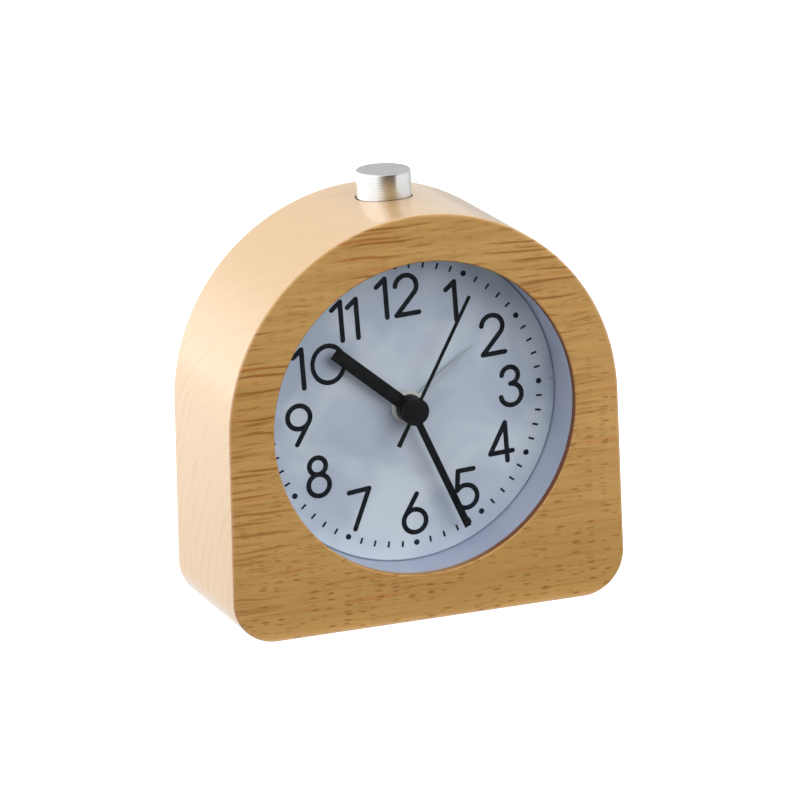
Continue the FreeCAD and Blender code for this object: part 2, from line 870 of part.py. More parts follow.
def cannon_pinion():
    """Minute pipe with its pinion; its tail goes through the middle plate."""
    front = minute_wheel_front - pinion_extra
    pinion = gear(cannon_teeth, motion_module, front, cannon_back, origin_place, cannon_phase)
    pipe = disc(minute_pipe_radius, hub_front(minute_hand_depth), centre_wheel_front)
    body = join([pinion, pipe])
    return body.cut(disc(second_arbor_radius + running_gap, 0, case_depth))


def centre_wheel():
    """Centre wheel, pushed against the cannon pinion's tail."""
    back = centre_wheel_front + train_wheel
    wheel = gear(centre_wheel_teeth, centre_module, centre_wheel_front, back, origin_place, third_angle)
    return wheel.cut(disc(second_arbor_radius + running_gap, 0, case_depth))


def minute_wheel():
    """Reversing wheel of the hands, with the pinion that drives the hour wheel."""
    x, rise = minute_place
    back = minute_wheel_front + motion_wheel
    wheel = gear(
        minute_wheel_teeth, motion_module, minute_wheel_front, back, minute_place, minute_wheel_phase
    )
    pinion_front = hour_wheel_front - pinion_extra
    pinion = gear(
        minute_pinion_teeth, hour_module, pinion_front, minute_wheel_front, minute_place, minute_pinion_phase
    )
    arbor = disc(arbor_radius, web_back, middle_plate_back, x, rise)
    return join([wheel, pinion, arbor])


def train_wheel_with_pinion(wheel_teeth, wheel_module, wheel_front, wheel_phase, pinion, place):
    """Wheel and pinion of the running train on one arbor between the plates."""
    pinion_teeth, pinion_module, pinion_front, pinion_phase = pinion
    wheel = gear(
        wheel_teeth, wheel_module, wheel_front, wheel_front + train_wheel, place, wheel_phase
    )
    leaves = gear(
        pinion_teeth,
        pinion_module,
        pinion_front - pinion_extra,
        wheel_front,
        place,
        pinion_phase,
    )
    arbor = disc(arbor_radius, middle_plate_front, rear_wall_back, place[0], place[1])
    return join([wheel, leaves, arbor])


def third_wheel():
    """Third wheel, driven over its pinion by the centre wheel's teeth."""
    pinion = (third_pinion_teeth, centre_module, centre_wheel_front, third_pinion_phase)
    return train_wheel_with_pinion(
        third_wheel_teeth, third_module, third_wheel_front, third_wheel_phase, pinion, third_place
    )


def step_wheel():
    """Wheel between the rotor and the second wheel."""
    pinion = (step_pinion_teeth, second_module, second_wheel_front, step_pinion_phase)
    return train_wheel_with_pinion(
        step_wheel_teeth, step_module, step_wheel_front, rotor_angle, pinion, step_place
    )


def second_wheel():
    """Second wheel on the long arbor that carries the second hand."""
    back = second_wheel_front + train_wheel
    wheel = gear(second_wheel_teeth, second_module, second_wheel_front, back, origin_place, step_angle)
    pinion = gear(
        second_pinion_teeth,
        third_module,
        third_wheel_front - pinion_extra,
        second_wheel_front,
        origin_place,
        second_pinion_phase,
    )
    cap_back = hub_front(second_hand_depth) + hub_thickness
    arbor = disc(second_arbor_radius, cap_back, rear_wall_back)
    return join([wheel, pinion, arbor])


def rotor_pinion():
    """Arbor of the rotor with the pinion that drives the train."""
    x, rise = rotor_place
    pinion = gear(
        rotor_pinion_teeth,
        step_module,
        step_wheel_front - pinion_extra,
        step_wheel_front + train_wheel + pinion_extra,
        rotor_place,
        rotor_pinion_phase,
    )
    return join([pinion, disc(arbor_radius, middle_plate_front, rear_wall_back, x, rise)])


def rotor_magnet():
    """Round two-pole magnet inside the stator's hole."""
    x, rise = rotor_place
    front = stator_front + stator_thickness / 2 - rotor_magnet_length / 2
    return tube(rotor_magnet_radius, arbor_radius, front, front + rotor_magnet_length, x, rise)


def stator():
    """Soft-iron plate around the rotor, with two legs up to the coil's core."""
    x, rise = rotor_place
    ring_reach = stator_hole_radius + stator_ring_width
    inner = stator_leg_gap / 2
    outer = inner + stator_leg_width
    top = stator_top_rise
    shoulder = rise + ring_reach
    waist = rise - ring_reach / 2
    corners = (
        (x - outer, top),
        (x - inner, top),
        (x - inner, shoulder),
        (x + inner, shoulder),
        (x + inner, top),
        (x + outer, top),
        (x + outer, rise),
        (x + ring_reach, waist),
        (x + ring_reach / 2, rise - ring_reach),
        (x - ring_reach / 2, rise - ring_reach),
        (x - ring_reach, waist),
        (x - outer, shoulder),
    )
    back = stator_front + stator_thickness
    return plate(corners, stator_front, back).cut(disc(stator_hole_radius, 0, case_depth, x, rise))


def coil_rise():
    """Middle of the coil's core above the dial's middle."""
    return stator_top_rise - bobbin_flange_half


def coil_bobbin():
    """Plastic spool with square flanges around the iron core strip."""
    x = rotor_place[0]
    rise = coil_rise()
    middle = core_front + stator_thickness / 2
    inner = stator_leg_gap / 2 - slip_gap
    half = stator_thickness / 2 + bobbin_wall
    tall = core_width / 2 + bobbin_wall
    pieces = [block(x - inner, x + inner, rise - tall, rise + tall, middle - half, middle + half)]
    flange = bobbin_flange_half
    for side in (-1, 1):
        edge = side * inner
        start = min(edge, edge - side * bobbin_flange_thickness)
        end = max(edge, edge - side * bobbin_flange_thickness)
        pieces.append(
            block(x + start, x + end, rise - flange, rise + flange, middle - flange, middle + flange)
        )
    core = block(
        x - case_depth,
        x + case_depth,
        rise - core_width / 2,
        rise + core_width / 2,
        core_front,
        core_front + stator_thickness,
    )
    return join(pieces).cut(core)


def coil_core():
    """Iron strip through the coil, lying on the stator's two legs."""
    x = rotor_place[0]
    reach = stator_leg_gap / 2 + stator_leg_width
    rise = coil_rise()
    return block(
        x - reach, x + reach, rise - core_width / 2, rise + core_width / 2, core_front, stator_front
    )


def coil_winding():
    """Copper winding on the bobbin, as one closed sleeve."""
    x = rotor_place[0]
    rise = coil_rise()
    middle = core_front + stator_thickness / 2
    inner = stator_leg_gap / 2 - slip_gap - bobbin_flange_thickness
    start = point(x - inner, middle, rise)
    body = Part.makeCylinder(winding_radius, 2 * inner, start, Vector(1, 0, 0))
    half = stator_thickness / 2 + bobbin_wall
    tall = core_width / 2 + bobbin_wall
    spool = block(x - case_depth, x + case_depth, rise - tall, rise + tall, middle - half, middle + half)
    return body.cut(spool)


def pivot_holes(body, places, radius, front, back):
    """The body with running holes for arbors at the given places."""
    for x, rise in places:
        body = body.cut(disc(radius + running_gap, front - overrun, back + overrun, x, rise))
    return body


def front_plate():
    """Front plate of the movement, against the ring's web."""
    body = block(
        -box_half_width, box_half_width, box_bottom_rise, box_top_rise, web_back, front_plate_back
    )
    body = pivot_holes(body, (origin_place,), alarm_pipe_radius, web_back, front_plate_back)
    body = pivot_holes(body, (minute_place,), arbor_radius, web_back, front_plate_back)
    places = (time_set_place, alarm_set_place)
    return pivot_holes(body, places, set_shaft_radius, web_back, front_plate_back)


def middle_plate():
    """Plate between the hand wheels and the running train."""
    inside = box_half_width - box_wall
    low = box_bottom_rise + box_wall
    front = middle_plate_front
    back = middle_plate_back
    body = block(-inside, inside, low, middle_plate_top_rise, front, back)
    body = pivot_holes(body, (origin_place,), minute_pipe_radius, front, back)
    arbors = (minute_place, third_place, step_place, rotor_place)
    body = pivot_holes(body, arbors, arbor_radius, front, back)
    return pivot_holes(body, (time_set_place, alarm_set_place), set_shaft_radius, front, back)


def movement_housing():
    """Box behind the front plate: walls, rear wall, screw ears, board posts and the switch post."""
    wall = box_wall
    outer = block(
        -box_half_width, box_half_width, box_bottom_rise, box_top_rise, front_plate_back, rear_wall_back
    )
    inner = block(
        -box_half_width + wall,
        box_half_width - wall,
        box_bottom_rise + wall,
        box_top_rise - wall,
        front_plate_back - overrun,
        rear_wall_front,
    )
    pieces = [outer.cut(inner)]
    ear_front = web_back + boss_height
    for x, rise in ear_places():
        side = math.copysign(1, x)
        wall_x = side * (box_half_width - wall / 2)
        pieces.append(disc(ear_radius, ear_front, ear_front + ear_thickness, x, rise))
        pieces.append(
            block(
                min(wall_x, x),
                max(wall_x, x),
                rise - ear_radius,
                rise + ear_radius,
                ear_front,
                ear_front + ear_thickness,
            )
        )
    for x in (board_left + board_post_inset, board_right - board_post_inset):
        for rise in (board_bottom_rise + board_post_inset, board_top_rise - board_post_inset):
            pieces.append(disc(board_post_radius, rear_wall_front, board_front, x, rise))
    pieces.append(plate_ledges())
    pieces.append(switch_post())
    body = join(pieces)
    for x, rise in ear_places():
        body = body.cut(disc(movement_screw_radius + running_gap, 0, case_depth, x, rise))
    arbors = (origin_place, third_place, step_place, rotor_place)
    body = pivot_holes(body, arbors[1:], arbor_radius, rear_wall_front, rear_wall_back)
    body = pivot_holes(body, arbors[:1], second_arbor_radius, rear_wall_front, rear_wall_back)
    places = (time_set_place, alarm_set_place)
    return pivot_holes(body, places, set_shaft_radius, rear_wall_front, rear_wall_back)


def plate_ledges():
    """Two bars along the side walls that carry the middle plate."""
    outside = box_half_width - box_wall / 2
    inside = box_half_width - 2 * box_wall
    low = box_bottom_rise + box_wall
    top = ledge_top_rise
    left = block(-outside, -inside, low, top, middle_plate_back, rear_wall_back)
    right = block(inside, outside, low, top, middle_plate_back, rear_wall_back)
    return left.fuse(right)


def switch_post():
    """Plain post on the box's top that carries the snooze switch."""
    half = snooze_body_size / 2
    return block(
        -half,
        half,
        box_top_rise - box_wall / 2,
        snooze_bottom - dial_height,
        button_depth - half,
        button_depth + half,
    )


def movement_screws():
    """Four pan-head screws through the ears into the ring's bosses."""
    head_front = web_back + boss_height + ear_thickness
    solids = []
    for x, rise in ear_places():
        shank = disc(movement_screw_radius, dial_back + running_gap, head_front, x, rise)
        head = slotted_head(
            movement_screw_head_radius, head_front, movement_screw_head_height, x, rise
        )
        solids.append(join([shank, head]))
    return Part.makeCompound(solids)


def slotted_head(radius, front, height, x, rise):
    """Round screw head with a cross slot on its back."""
    head = disc(radius, front, front + height, x, rise)
    reach = radius * screw_slot_share
    half = screw_slot_width / 2
    slot_front = front + height - screw_slot_depth
    slot_back = front + height + overrun
    across = block(x - reach, x + reach, rise - half, rise + half, slot_front, slot_back)
    along = block(x - half, x + half, rise - reach, rise + reach, slot_front, slot_back)
    return head.cut(across).cut(along)


def circuit_board():
    """Brown board on four posts, with two solder pads for the switch's leads."""
    body = block(board_left, board_right, board_bottom_rise, board_top_rise, board_front, board_back)
    pieces = [body]
    for x in lead_places():
        low = lead_end_rise() - pad_size
        pieces.append(
            block(x - pad_size / 2, x + pad_size / 2, low, lead_end_rise(), board_back, board_back + pad_height)
        )
    return join(pieces)


def lead_places():
    """The two leads' x positions."""
    return (-lead_spread / 2, lead_spread / 2)


def lead_end_rise():
    """Where the leads end on the board's pads."""
    return board_top_rise - 2 * pad_size


def chip_cap():
    """Dark resin drop over the clock chip."""
    x = board_right - 2 * chip_radius
    rise = board_bottom_rise + 2 * chip_radius
    base = disc(chip_radius, board_back, board_back + chip_height, x, rise)
    rim = [edge for edge in base.Edges if abs(edge.BoundBox.YMax - base.BoundBox.YMax) < running_gap]
    rim = [edge for edge in rim if edge.BoundBox.YMin > base.BoundBox.YMin + running_gap]
    return base.makeFillet(chip_height / 2, rim)


def quartz_can():
    """Small metal can of the time-keeping crystal, lying on the board."""
    start = point(
        board_right - 2 * quartz_length,
        board_back + quartz_radius,
        board_top_rise - 2 * quartz_radius,
    )
    return Part.makeCylinder(quartz_radius, quartz_length, start, Vector(1, 0, 0))


def buzzer_disc():
    """Thin brass sounder disc in a ring on the inside of the cover."""
    back = cover_front - buzzer_ledge
    return disc(buzzer_radius, back - buzzer_thickness, back, buzzer_x, buzzer_rise)


def tray_box(half_length, low, high, front, back, clip_radius):
    """Battery tray space, rounded where the case's bore needs it."""
    space = block(-half_length, half_length, low, high, front, back)
    return space.common(disc(clip_radius, front, back))


def hinge_line(radius, half_length):
    """Round bar along the door's hinge axis."""
    start = point(-half_length, door_middle, door_pin_rise)
    return Part.makeCylinder(radius, 2 * half_length, start, Vector(1, 0, 0))


def rear_cover():
    """Round back with a battery tray, sounder ring, switch rails and holes for the knobs."""
    body = disc(rebate_radius - slip_gap, cover_front, cover_back)
    rim = [
        edge
        for edge in edges_at_depth(body, cover_back, 0)
        if edge.Length > 2 * math.pi * bore_radius
    ]
    body = body.makeFillet(cover_edge_radius, rim)
    tray_front = battery_depth - battery_radius - tray_side_gap
    outer = tray_box(
        tray_half_length + tray_wall,
        tray_bottom_rise - tray_wall,
        tray_top_rise + tray_wall,
        tray_front - tray_wall,
        cover_front,
        tray_clip_radius,
    )
    buzzer_outer = buzzer_radius + slip_gap + buzzer_ring_wall
    buzzer_front = cover_front - buzzer_ledge - buzzer_thickness - slip_gap
    holder = disc(buzzer_outer, buzzer_front, cover_front, buzzer_x, buzzer_rise)
    seat = cover_front - buzzer_ledge
    holder = holder.cut(disc(buzzer_radius + slip_gap, buzzer_front, seat, buzzer_x, buzzer_rise))
    holder = holder.cut(disc(buzzer_radius - buzzer_ring_wall, seat, cover_front, buzzer_x, buzzer_rise))
    body = join([body, outer, holder, switch_rails()])
    inner = tray_box(
        tray_half_length,
        tray_bottom_rise,
        tray_top_rise,
        tray_front,
        cover_back + overrun,
        inner_clip_radius,
    )
    body = body.cut(inner.cut(door_ears()))
    body = body.cut(hinge_line(door_pin_radius + running_gap, pin_reach() + slip_gap))
    body = body.cut(door_relief())
    body = body.cut(thumb_notch())
    body = body.cut(switch_slot())
    for angle in cover_screw_angles:
        x, rise = polar(cover_screw_circle_radius, angle)
        body = body.cut(disc(cover_screw_radius + running_gap, 0, case_depth, x, rise))
    for x, rise in (time_set_place, alarm_set_place):
        body = body.cut(disc(set_shaft_radius + running_gap, 0, case_depth, x, rise))
    for x, rise in sound_holes():
        body = body.cut(disc(sound_hole_radius, seat - overrun, case_depth, x, rise))
    return body


def pin_reach():
    """Half the length over the door's two pins."""
    return tray_half_length - door_pin_inset + door_pin_length


def door_ears():
    """Corners of the cover that hold the door's pins."""
    inner = tray_half_length - door_pin_inset + slip_gap
    ears = []
    for side in (-1, 1):
        left = min(side * inner, side * (tray_half_length + overrun))
        right = max(side * inner, side * (tray_half_length + overrun))
        low = tray_bottom_rise - overrun
        ears.append(block(left, right, low, tray_bottom_rise + door_ear_height, cover_front, cover_back))
    return ears[0].fuse(ears[1])


def door_relief():
    """Slope under the door's hinge edge, so that the open door can hang down."""
    reach = tray_half_length - door_pin_inset + slip_gap
    rise = tray_bottom_rise
    drop = cover_back - door_middle
    corners = [
        point(-reach, door_middle, rise + drop),
        point(-reach, door_middle, rise),
        point(-reach, cover_back, rise - drop),
        point(-reach, cover_back, rise + drop),
    ]
    face = Part.Face(Part.makePolygon(corners + corners[:1]))
    return face.extrude(Vector(2 * reach, 0, 0))


def thumb_notch():
    """Shallow half-round dip above the door for a fingernail."""
    return disc(thumb_notch_radius, cover_back - thumb_notch_depth, cover_back + overrun, 0, tray_top_rise)


def sound_holes():
    """Ring of small holes over the sounder, and one in its middle."""
    places = [(buzzer_x, buzzer_rise)]
    for index in range(sound_hole_count):
        x, rise = polar(sound_hole_circle_radius, index * 360.0 / sound_hole_count)
        places.append((buzzer_x + x, buzzer_rise + rise))
    return places


def switch_rails():
    """Two ribs inside the cover that guide the alarm switch."""
    half = switch_base_length / 2 + switch_travel
    inner = switch_base_width / 2 + slip_gap
    front = cover_front - switch_base_thickness - slip_gap
    rails = []
    for side in (-1, 1):
        low = switch_rise + min(side * inner, side * (inner + switch_rail_width))
        rails.append(block(-half, half, low, low + switch_rail_width, front, cover_front))
    return rails[0].fuse(rails[1])


def switch_slot():
    """Slot in the cover for the alarm switch's nub."""
    half = switch_nub_size / 2 + slip_gap
    reach = half + switch_travel / 2
    return block(
        -reach, reach, switch_rise - half, switch_rise + half, cover_front - overrun, cover_back + overrun
    )


def alarm_switch():
    """Sliding alarm switch, drawn at the left end of its slot as seen from the front."""
    x = -switch_travel / 2
    half = switch_base_length / 2
    tall = switch_base_width / 2
    base_back = cover_front - running_gap
    base = block(
        x - half, x + half, switch_rise - tall, switch_rise + tall, base_back - switch_base_thickness, base_back
    )
    nub = switch_nub_size / 2
    knob = block(
        x - nub,
        x + nub,
        switch_rise - nub,
        switch_rise + nub,
        base_back - switch_base_thickness,
        cover_back + switch_nub_height,
    )
    return join([base, knob])


def battery_door():
    """Door over the battery, turning on two moulded pins at its lower edge."""
    front = door_middle - door_thickness / 2
    back = door_middle + door_thickness / 2
    half = tray_half_length - door_gap
    top = tray_top_rise - door_gap
    ear_top = tray_bottom_rise + door_ear_height + 2 * door_gap
    narrow = tray_half_length - door_pin_inset
    wide = tray_box(half, ear_top, top, front, back, inner_clip_radius - door_gap)
    foot = block(-narrow, narrow, door_pin_rise, ear_top, front, back)
    pieces = [wide, foot, hinge_line(door_thickness / 2, narrow), hinge_line(door_pin_radius, pin_reach())]
    for index in range(door_rib_count):
        middle = top - (index + 1) * door_rib_pitch - door_rib_width
        rib = block(
            -door_rib_length / 2,
            door_rib_length / 2,
            middle - door_rib_width / 2,
            middle + door_rib_width / 2,
            back - running_gap,
            back + door_rib_height,
        )
        pieces.append(rib)
    return join(pieces)


def battery():
    """Round cell with its positive nub towards +x."""
    body_length = battery_length - battery_nub_length
    start = point(battery_tip - battery_length, battery_depth, -battery_drop)
    can = Part.makeCylinder(battery_radius, body_length, start, Vector(1, 0, 0))
    rims = [edge for edge in can.Edges if edge.BoundBox.XLength < running_gap]
    can = can.makeFillet(battery_edge_radius, rims)
    nub_start = point(battery_tip - battery_nub_length, battery_depth, -battery_drop)
    nub = Part.makeCylinder(battery_nub_radius, battery_nub_length, nub_start, Vector(1, 0, 0))
    return join([can, nub])


def contact_plate(left):
    """Flat metal contact across the battery's end."""
    half = contact_width / 2
    return block(
        left,
        left + contact_thickness,
        -battery_drop - half,
        -battery_drop + half,
        battery_depth - half,
        battery_depth + half,
    )


def positive_contact():
    """Flat contact at the battery's nub."""
    return contact_plate(battery_tip)


def coil(start, axis, side, radius, wire_radius, length, turns):
    """Round wire wound about an axis, as quarter-turn arcs with square ends."""
    across = axis.cross(side)
    steps = turns * 4
    edges = []

    def at(step):
        turn = math.radians(step * 90.0)
        along = length * step / steps
        return start + axis * along + side * (radius * math.cos(turn)) + across * (radius * math.sin(turn))

    for step in range(steps):
        edges.append(Part.Arc(at(step), at(step + 0.5), at(step + 1)).toShape())
    path = Part.Wire(edges)
    tangent = edges[0].tangentAt(edges[0].FirstParameter)
    section = Part.Wire(Part.Circle(at(0), tangent, wire_radius).toShape())
    return path.makePipeShell([section], True, False)


def negative_contact():
    """Contact plate with the spring that presses on the battery's flat end."""
    return contact_plate(-tray_half_length)


def contact_spring():
    """Two turns of spring wire between the plate and the battery."""
    wire = contact_spring_wire_radius
    start = point(-tray_half_length + contact_thickness + wire, battery_depth, -battery_drop)
    length = spring_room - 2 * wire
    return coil(
        start, Vector(1, 0, 0), Vector(0, 1, 0), contact_spring_radius, wire, length, contact_spring_turns
    )


def rear_screws():
    """Four screws through the cover into the wood."""
    solids = []
    for angle in cover_screw_angles:
        x, rise = polar(cover_screw_circle_radius, angle)
        shank = disc(cover_screw_radius, cover_front - cover_screw_length, cover_back, x, rise)
        head = slotted_head(cover_screw_head_radius, cover_back, cover_screw_head_height, x, rise)
        solids.append(join([shank, head]))
    return Part.makeCompound(solids)


def set_shaft(place, teeth, module, gear_front, gear_back, phase):
    """Setting shaft with its gear, from the front plate to the knob."""
    x, rise = place
    wheel = gear(teeth, module, gear_front, gear_back, place, phase)
    shaft = disc(set_shaft_radius, web_back, cover_back + slip_gap + knob_height / 2, x, rise)
    return join([wheel, shaft])


def time_set_shaft():
    """Shaft that sets the hands over the minute wheel."""
    front = minute_wheel_front - pinion_extra
    return set_shaft(time_set_place, set_gear_teeth, motion_module, front, cannon_back, set_gear_phase)


def alarm_set_shaft():
    """Shaft that sets the alarm hand over the alarm wheel."""
    back = alarm_wheel_front + thick_wheel
    return set_shaft(
        alarm_set_place, alarm_pinion_teeth, alarm_module, alarm_wheel_front, back, alarm_pinion_phase
    )


def knob(place):
    """Round knob with fluted sides, pushed on a setting shaft."""
    x, rise = place
    front = cover_back + slip_gap
    back = front + knob_height
    body = disc(knob_radius, front, back, x, rise)
    socket = disc(set_shaft_radius, front, front + knob_height / 2, x, rise)
    body = body.cut(socket)
    for index in range(knob_flutes):
        dx, dz = polar(knob_radius, index * 360.0 / knob_flutes)
        body = body.cut(disc(knob_flute_radius, front, back, x + dx, rise + dz))
    return body


def button_cap():
    """Turned metal cap, hollow from below, with a softly broken top edge."""
    body = upright(button_radius, button_bottom, button_top)
    rim = [
        edge
        for edge in body.Edges
        if edge.BoundBox.ZMin > button_top - running_gap
    ]
    body = body.makeFillet(button_edge_radius, rim)
    body = body.cut(upright(button_radius - button_wall, button_bottom, button_ceiling))
    return body.cut(upright(stem_radius, button_ceiling, button_ceiling + stem_socket_depth))


def button_stem():
    """Round stem pressed into the cap, running down through the bush."""
    return upright(stem_radius, stem_bottom, button_ceiling + stem_socket_depth)


def stem_clip():
    """Open ring under the bush that keeps the button from lifting out."""
    low = clip_top - clip_thickness
    body = upright(stem_radius + clip_width, low, clip_top).cut(upright(stem_radius, low, clip_top))
    gap = stem_radius * clip_mouth_share
    y = button_depth - case_depth / 2
    mouth = Part.makeBox(2 * gap, stem_radius + clip_width, clip_thickness, Vector(-gap, y, low))
    return body.cut(mouth)


def guide_bush():
    """Flanged bush in the wood that guides the stem."""
    flange = upright(button_radius + button_hole_gap - slip_gap, button_ledge, button_ledge + button_bush_flange)
    sleeve = upright(stem_radius + running_gap + bush_wall, bush_bottom, button_ledge + button_bush_flange)
    body = join([flange, sleeve])
    return body.cut(upright(stem_radius + running_gap, bush_bottom, button_top))


def button_spring():
    """Return spring around the stem, between the bush and the cap."""
    wire = button_spring_wire_radius
    low = button_ledge + button_bush_flange + wire
    start = Vector(0, button_depth - case_depth / 2, low)
    length = button_ceiling - wire - low
    return coil(
        start, Vector(0, 0, 1), Vector(1, 0, 0), button_spring_radius, wire, length, button_spring_turns
    )


def snooze_switch():
    """Body of the long-stroke push switch under the button."""
    half = snooze_body_size / 2
    corner = Vector(-half, button_depth - case_depth / 2 - half, snooze_bottom)
    body = Part.makeBox(snooze_body_size, snooze_body_size, snooze_body_height, corner)
    well = upright(plunger_radius + running_gap, snooze_top - button_travel - slip_gap, snooze_top)
    return body.cut(well)


def switch_plunger():
    """Plunger of the push switch, always against the stem's end."""
    return upright(plunger_radius, snooze_top - running_gap, stem_bottom)


def switch_leads():
    """Two insulated wires from the push switch down to the board."""
    rise = snooze_bottom + snooze_body_height / 2 - dial_height
    start_depth = button_depth + snooze_body_size / 2
    down_depth = board_back + lead_radius + running_gap
    bend = lead_bend_radius
    half = bend * (1 - math.sqrt(0.5))
    wires = []
    for x in lead_places():
        corner = point(x, down_depth - half, rise - half)
        first = point(x, down_depth - bend, rise)
        last = point(x, down_depth, rise - bend)
        path = Part.Wire(
            [
                Part.LineSegment(point(x, start_depth, rise), first).toShape(),
                Part.Arc(first, corner, last).toShape(),
                Part.LineSegment(last, point(x, down_depth, lead_end_rise())).toShape(),
            ]
        )
        circle = Part.Circle(point(x, start_depth, rise), Vector(0, 1, 0), lead_radius)
        wires.append(path.makePipeShell([Part.Wire(circle.toShape())], True, False))
    return Part.makeCompound(wires)


def save(name, shape):
    """Write one piece and print its volume."""
    good = shape.isValid() and all(solid.isClosed() for solid in shape.Solids)
    print(f"{name}: {len(shape.Solids)} solid(s), {shape.Volume:.2f} mm3, {'good' if good else 'BAD'}")
    shape.exportStep(f"parts/{name}.step")


def main():
    """Build every piece and write its file."""
    os.makedirs("parts", exist_ok=True)
    makers = (
        wood_case, lens, inner_ring, dial_plate, dial_numerals, dial_marks,
        second_hand, minute_hand, hour_hand, alarm_hand,
        front_plate, middle_plate, movement_housing, movement_screws,
        alarm_wheel, hour_wheel, cannon_pinion, centre_wheel, minute_wheel,
        third_wheel, second_wheel, step_wheel, rotor_pinion, rotor_magnet,
        stator, coil_core, coil_bobbin, coil_winding,
        circuit_board, chip_cap, quartz_can, buzzer_disc,
        rear_cover, rear_screws, battery_door, battery,
        positive_contact, negative_contact, contact_spring,
        time_set_shaft, alarm_set_shaft, alarm_switch,
        button_cap, button_stem, stem_clip, guide_bush, button_spring,
        snooze_switch, switch_plunger, switch_leads,
    )
    for maker in makers:
        save(maker.__name__, maker())
    save("time_knob", knob(time_set_place))
    save("alarm_knob", knob(alarm_set_place))


main()
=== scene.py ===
# %% [markdown]
# # A small wooden desk clock
# This file dresses a finished CAD model of the clock. The shapes come from the packed
# frame, and each cell below adds one finish, one light or one small piece.
# The frame is loaded first, because every place and size is read from it.

import math

import bmesh
import bpy
from mathutils import Matrix, Vector


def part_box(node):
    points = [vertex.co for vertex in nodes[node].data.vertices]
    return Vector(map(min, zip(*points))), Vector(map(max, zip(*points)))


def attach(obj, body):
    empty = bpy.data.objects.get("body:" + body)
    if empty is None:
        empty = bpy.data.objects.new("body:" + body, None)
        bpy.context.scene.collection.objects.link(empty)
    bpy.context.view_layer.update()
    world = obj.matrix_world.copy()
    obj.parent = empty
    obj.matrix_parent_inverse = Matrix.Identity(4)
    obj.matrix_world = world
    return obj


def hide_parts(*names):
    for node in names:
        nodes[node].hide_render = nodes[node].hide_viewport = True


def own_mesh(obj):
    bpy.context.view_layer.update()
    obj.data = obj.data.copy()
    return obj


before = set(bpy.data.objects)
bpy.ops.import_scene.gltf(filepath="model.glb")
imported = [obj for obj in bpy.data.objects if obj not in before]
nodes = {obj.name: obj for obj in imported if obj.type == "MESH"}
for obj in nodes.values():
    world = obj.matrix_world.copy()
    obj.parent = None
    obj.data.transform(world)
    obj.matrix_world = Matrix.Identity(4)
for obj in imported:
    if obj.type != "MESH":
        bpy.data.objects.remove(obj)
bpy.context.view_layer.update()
print("pieces in the frame:", len(nodes))

# %% [markdown]
# ## Sizes that the finishes need
# Patterns could be placed with typed numbers, but they would slip as soon as the
# model changes. So the case's front and the dial's middle are measured, and the beech,
# the lip and the dial's edge are laid out from them.


# %% Measure the clock
MM = 0.001


def middle_of(name):
    """The middle of a CAD piece, in metres."""
    low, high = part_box(name)
    return (Vector(low) + Vector(high)) / 2


front_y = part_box("wood_case")[0][1]
dial_middle = middle_of("dial_plate")
print("dial middle (mm):", [round(v / MM, 2) for v in dial_middle])

# %% [markdown]
# ## Adding shader nodes
# A material is a network of nodes. It could be joined by hand in the shader editor,
# but a written one can be read, changed and made again. Adding a node always takes
# the same few lines, so one helper does it.


# %% Add a node
def fill_inputs(tree, node, inputs):
    """Give each named input a plain value, or join it to another node's output."""
    for name, value in inputs.items():
        if isinstance(value, bpy.types.NodeSocket):
            tree.links.new(value, node.inputs[name])
        else:
            node.inputs[name].default_value = value


def add_node(tree, kind, inputs=None, **settings):
    """Add one shader node, set it up and fill its inputs."""
    made = tree.nodes.new("ShaderNode" + kind)
    for name, value in settings.items():
        setattr(made, name, value)
    fill_inputs(tree, made, inputs or {})
    return made


print("a node can be added")

# %% [markdown]
# ## Arithmetic with nodes
# Patterns are made by adding, multiplying and fading values. Each of these steps is
# a node, and short names for them keep the recipes below as readable as sums.


# %% Arithmetic with nodes
def calc(tree, operation, first, second=0.0, clamp=False):
    """Arithmetic on one or two values, kept between 0 and 1 where clamp is set."""
    inputs = {0: first, 1: second}
    return add_node(tree, "Math", inputs, operation=operation, use_clamp=clamp).outputs[0]


def times(tree, first, second):
    """One value multiplied by another."""
    return calc(tree, "MULTIPLY", first, second)


def fade(tree, value, start, end, low=0.0, high=1.0):
    """A value that goes smoothly from low to high between start and end."""
    inputs = {"Value": value, 1: start, 2: end, 3: low, 4: high}
    return add_node(tree, "MapRange", inputs, interpolation_type="SMOOTHSTEP").outputs[0]


def split(tree, vector):
    """The three numbers of a vector."""
    return add_node(tree, "SeparateXYZ", {0: vector}).outputs


def blend_colours(tree, share, first, second):
    """The first colour, with a share of the second mixed in."""
    inputs = {0: share, 6: first, 7: second}
    return add_node(tree, "Mix", inputs, data_type="RGBA").outputs[2]


print("arithmetic helpers ready")

# %% [markdown]
# ## Places and noise
# Every finish here is solid: its colour comes from the point's own place in the piece,
# in millimetres, and not from a picture. So it needs no unwrapping, and it moves with
# the piece. Noise gives the chance differences that real stuff has.


# %% Places and noise
def place_in_mm(tree, stretch=(1.0, 1.0, 1.0)):
    """The point being shaded, in millimetres of the piece's own frame."""
    where = add_node(tree, "TexCoord").outputs["Object"]
    scale = tuple(share / MM for share in stretch)
    return add_node(tree, "Mapping", {"Vector": where, "Scale": scale}).outputs[0]


def noise(tree, place, per_mm, detail=2.0, distortion=0.0):
    """Soft random values, with so many blots in a millimetre."""
    inputs = {"Vector": place, "Scale": per_mm, "Detail": detail, "Distortion": distortion}
    return add_node(tree, "TexNoise", inputs).outputs[0]


def noise_along(tree, distance, per_mm, detail):
    """Noise that changes along one distance only, which gives lines or bands."""
    inputs = {"W": distance, "Scale": per_mm, "Detail": detail}
    return add_node(tree, "TexNoise", inputs, noise_dimensions="1D").outputs[0]


print("places and noise ready")

